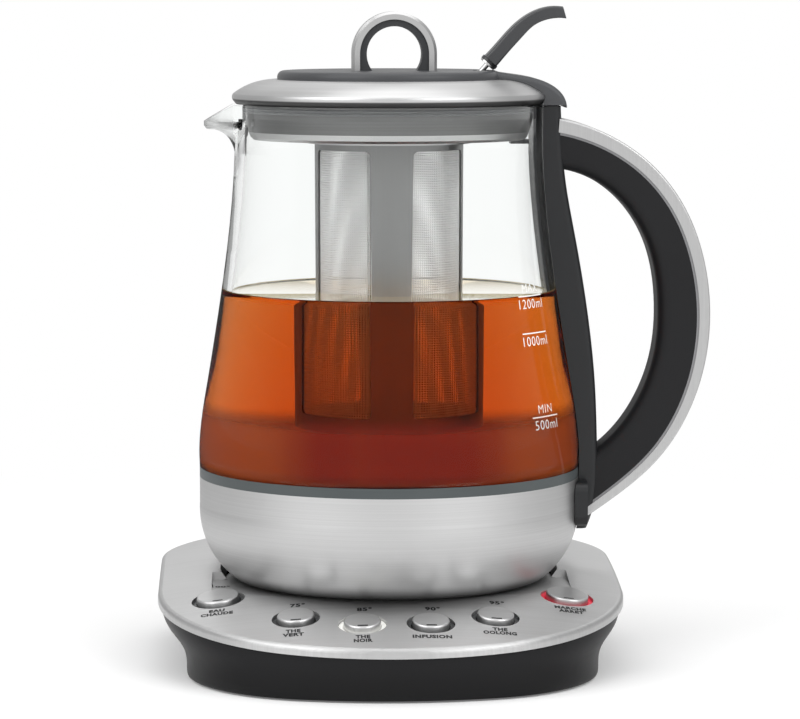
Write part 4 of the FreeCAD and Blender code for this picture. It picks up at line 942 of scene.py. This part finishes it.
plateMesh = nodes["base_plate"].data
plateFaces = BVHTree.FromPolygons([v.co for v in plateMesh.vertices],
                                  [face.vertices for face in plateMesh.polygons])


def onPlate(x, y):
    # point just above the plate's top, straight over (x, y)
    above = Vector(inMetres((x, y, plateMarks["rayFrom"])))
    place = plateFaces.ray_cast(above, Vector((0, 0, -1)))[0]
    return place / mm + Vector((0, 0, plateMarks["lift"]))


def buttonPlace(name):
    a = math.radians(buttonAngles[name])
    return buttonCircle * math.sin(a), -buttonCircle * math.cos(a)


def makePlateMarks():
    parts = []
    for name, lines in plateWords.items():
        x, y = buttonPlace(name)
        for words, width, right, behind in lines:
            height = plateMarks["number" if words[0].isdigit() else "word"]
            place = lambda u, v, x=x + right, y=y + behind: onPlate(x + u, y + v)
            parts.append((flatText(words, height, plateMarks["bold"], letters["spread"], width), place))
    printed("button_words", parts, markBlack, "base")


# level marks: reach is half a line's length, apart the distance of letters from it, radius the glass's there
levels = {"azimuth": 53.5, "lift": 0.05, "height": 3.8, "aboveShare": 0.9, "bold": -0.02, "spread": 1.12,
          "line": 0.5, "reach": 8.0, "apart": 3.1, "radius": 66.0,
          "marks": [(151.0, "1200ml", "MAX"), (136.4, "1000ml", ""), (103.6, "500ml", "MIN")]}


def onGlass(azimuth, z, lift):
    # point of the glass's outside at an angle from -Y towards +X, in degrees
    r = jugSide(z) + lift
    a = math.radians(azimuth)
    return Vector((r * math.sin(a), -r * math.cos(a), z))


def makeLevelMarks():
    parts = []
    for height, below, above in levels["marks"]:
        def place(u, v, height=height):
            azimuth = levels["azimuth"] + math.degrees(u / levels["radius"])
            return onGlass(azimuth, height + v, levels["lift"])
        line = flatBar(-levels["reach"], levels["reach"], -levels["line"] / 2, levels["line"] / 2)
        parts.append((line, place))
        low = lambda u, v, height=height: place(u, v - levels["apart"], height)
        parts.append((flatText(below, levels["height"], levels["bold"], levels["spread"]), low))
        if above:
            high = lambda u, v, height=height: place(u, v + levels["apart"], height)
            small = levels["height"] * levels["aboveShare"]
            parts.append((flatText(above, small, levels["bold"], levels["spread"]), high))
    printed("level_marks", parts, markWhite, "jug")


# the dash on each cap: front is its distance from the cap's middle, cap the height of the cap over the plate
dash = {"bigFront": 6.2, "smallFront": 5.3, "halfLength": 2.0, "halfWidth": 0.55, "pieces": 4, "cap": 1.7,
        "lift": 0.04}


def makeCapMarks():
    # a small dark dash near the front of each cap
    for name in buttonAngles:
        x, y = buttonPlace(name)
        front = dash["bigFront" if name in ("hot_water", "power") else "smallFront"]
        place = lambda u, v, x=x, y=y, front=front: onCrown(x + u, y - front + v, dash["cap"] + dash["lift"])
        bar = flatBar(-dash["halfLength"], dash["halfLength"], -dash["halfWidth"], dash["halfWidth"],
                      dash["pieces"])
        printed(name + "_dash", [(bar, place)], markBlack, name + "_key")


makePlateMarks()
makeLevelMarks()
makeCapMarks()
print("marks printed")
